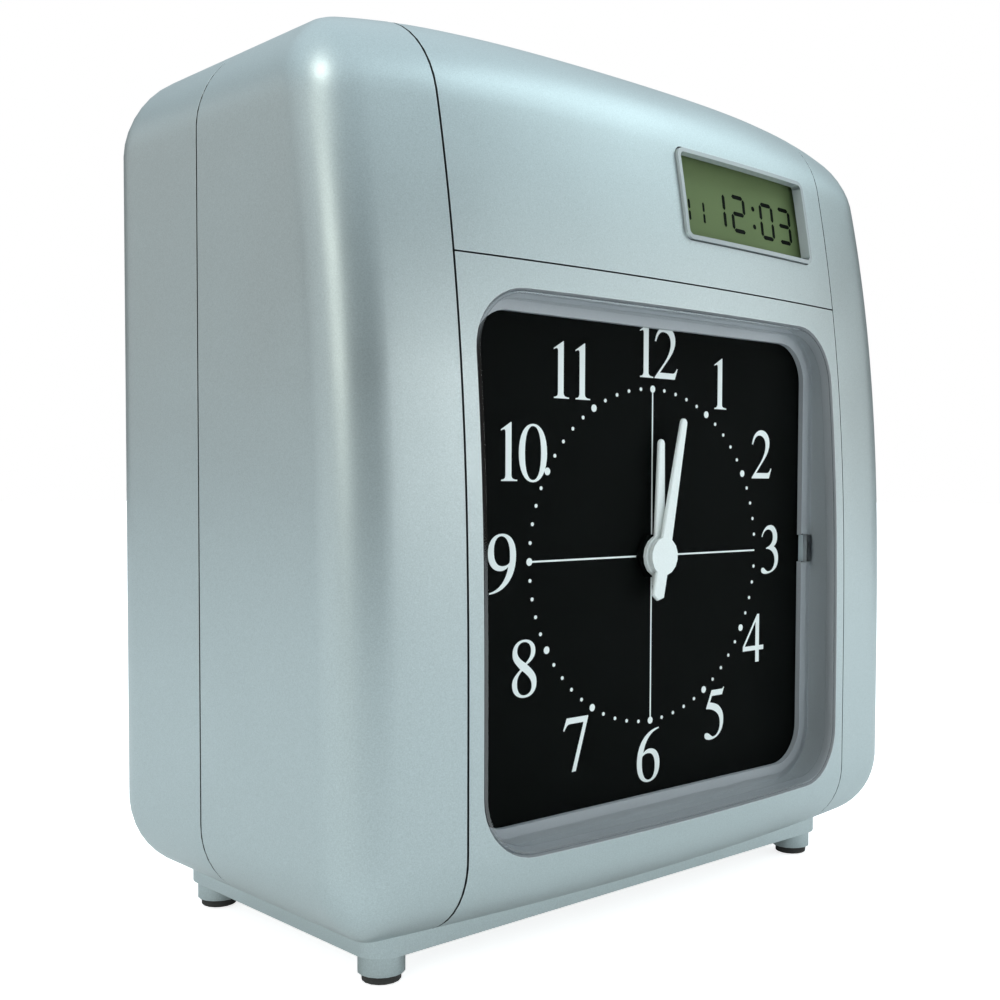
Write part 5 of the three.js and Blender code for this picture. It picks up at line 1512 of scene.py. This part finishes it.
def bar_outline(start, end, thickness):
    """A hexagon along a bar, pointed at both ends."""
    along = (end - start) / np.linalg.norm(end - start)
    across = np.array([-along[1], along[0]]) * thickness / 2
    a, b = start + along * BAR_GAP, end - along * BAR_GAP
    shoulder = along * thickness / 2
    one_side = [a, a + shoulder - across, b - shoulder - across]
    other_side = [b, b - shoulder + across, a + shoulder + across]
    return np.array(one_side + other_side)


def display_digit(skin, digit, left, size):
    """Adds one digit in the display's own plane."""
    low, width, tall, thickness = size
    corner = np.array((left, low)) + thickness / 2
    for bar in SHOWN_BARS[digit]:
        ends = []
        for across, up_halves in BARS[bar]:
            rise = up_halves * (tall - thickness) / 2
            ends.append(corner + (across * (width - thickness) + SLANT * rise, rise))
        ink(skin, bar_outline(*ends, thickness))


skin = Skin()
skin.shell([upright_patch([rounded_loop(*GLASS)], -GLASS_THICKNESS, 0, 0)])
set_in_header(skin)
make_piece("display_glass", skin, display_green, "chassis", bevel=GLASS_BEVEL)

skin = Skin()
for digit, left, size in SHOWN:
    display_digit(skin, digit, left, size)
for height in COLON_HEIGHTS:
    middle = (COLON_X + SLANT * (height - LARGE[0]), height)
    ink(skin, circle_loop(middle, COLON_RADIUS, COLON_SIDES))
set_in_header(skin)
make_piece("display_digits", skin, display_dark, "chassis")

# %% [markdown]
# Base, feet, hands, screws and the pieces inside have the right forms in CAD, but their edges are sharp.
# Real mouldings and turned parts have a small radius that catches the light, so each of them is copied,
# its doubled points are merged, and a bevel rounds every edge that is sharper than its facets.

# %% Rounded copies of the smaller pieces
SAME_POINT = 0.000001
FACET_ANGLE = 30
ROUNDED = {
    0.0004: ["base_plate"],
    0.0005: ["foot_pad_1", "foot_pad_2", "foot_pad_3", "foot_pad_4"],
    0.00022: ["minute_hand", "hour_hand", "lock_housing", "lock_barrel", "dial_nut", "dc_inlet"],
    0.0003: ["lcd_module", "clock_dial", "movement_case", "movement_cover", "ribbon_cartridge"],
    0.00025: ["print_carriage", "print_head", "platen", "feed_motor", "carriage_motor", "inner_frame"],
    0.0002: ["display_board", "main_board", "backup_battery"],
}
body_of = {node: body for body, nodes in frame["record"]["behaviour"]["bodies"].items() for node in nodes}


def rounded_copy(node, width):
    """A copy of a CAD node with small round edges."""
    mesh = frame["nodes"][node].data.copy()
    shape = bmesh.new()
    shape.from_mesh(mesh)
    bmesh.ops.remove_doubles(shape, verts=shape.verts, dist=SAME_POINT)
    bmesh.ops.dissolve_limit(shape, angle_limit=math.radians(1), verts=shape.verts, edges=shape.edges)
    shape.to_mesh(mesh)
    shape.free()
    smooth(mesh, FACET_ANGLE)
    piece = place_piece(node + "_rounded", mesh, body_of[node], [node])
    round_edges(piece, width, FACET_ANGLE)


for width, names in ROUNDED.items():
    for node in names:
        rounded_copy(node, width)

# %% [markdown]
# The feed shaft passes close behind the rear card guide. A turned shaft is finer than its solid with
# twelve sides: it has many sides, chamfered ends and a hair of clearance to the guide.

# %% Feed shaft
SHAFT_SIDES = 48
SHAFT_CHAMFER = 0.0002
SHAFT_CLEARANCE = 0.00005
shaft_low, shaft_high = np.array(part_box("feed_shaft"))
middle = (shaft_low + shaft_high)[1:] / 2
radius = (shaft_high[2] - shaft_low[2]) / 2 - SHAFT_CLEARANCE
skin = Skin()
rows = []
for x, inset in (
    (shaft_low[0], SHAFT_CHAMFER),
    (shaft_low[0] + SHAFT_CHAMFER, 0),
    (shaft_high[0] - SHAFT_CHAMFER, 0),
    (shaft_high[0], SHAFT_CHAMFER),
):
    rows.append(skin.add(np.insert(circle_loop(middle, radius - inset, SHAFT_SIDES), 0, x, axis=1)))
skin.rings(rows)
skin.faces += [tuple(reversed(rows[0])), tuple(rows[-1])]
make_piece("feed_shaft_turned", skin, steel, "feed_rollers", ["feed_shaft"])
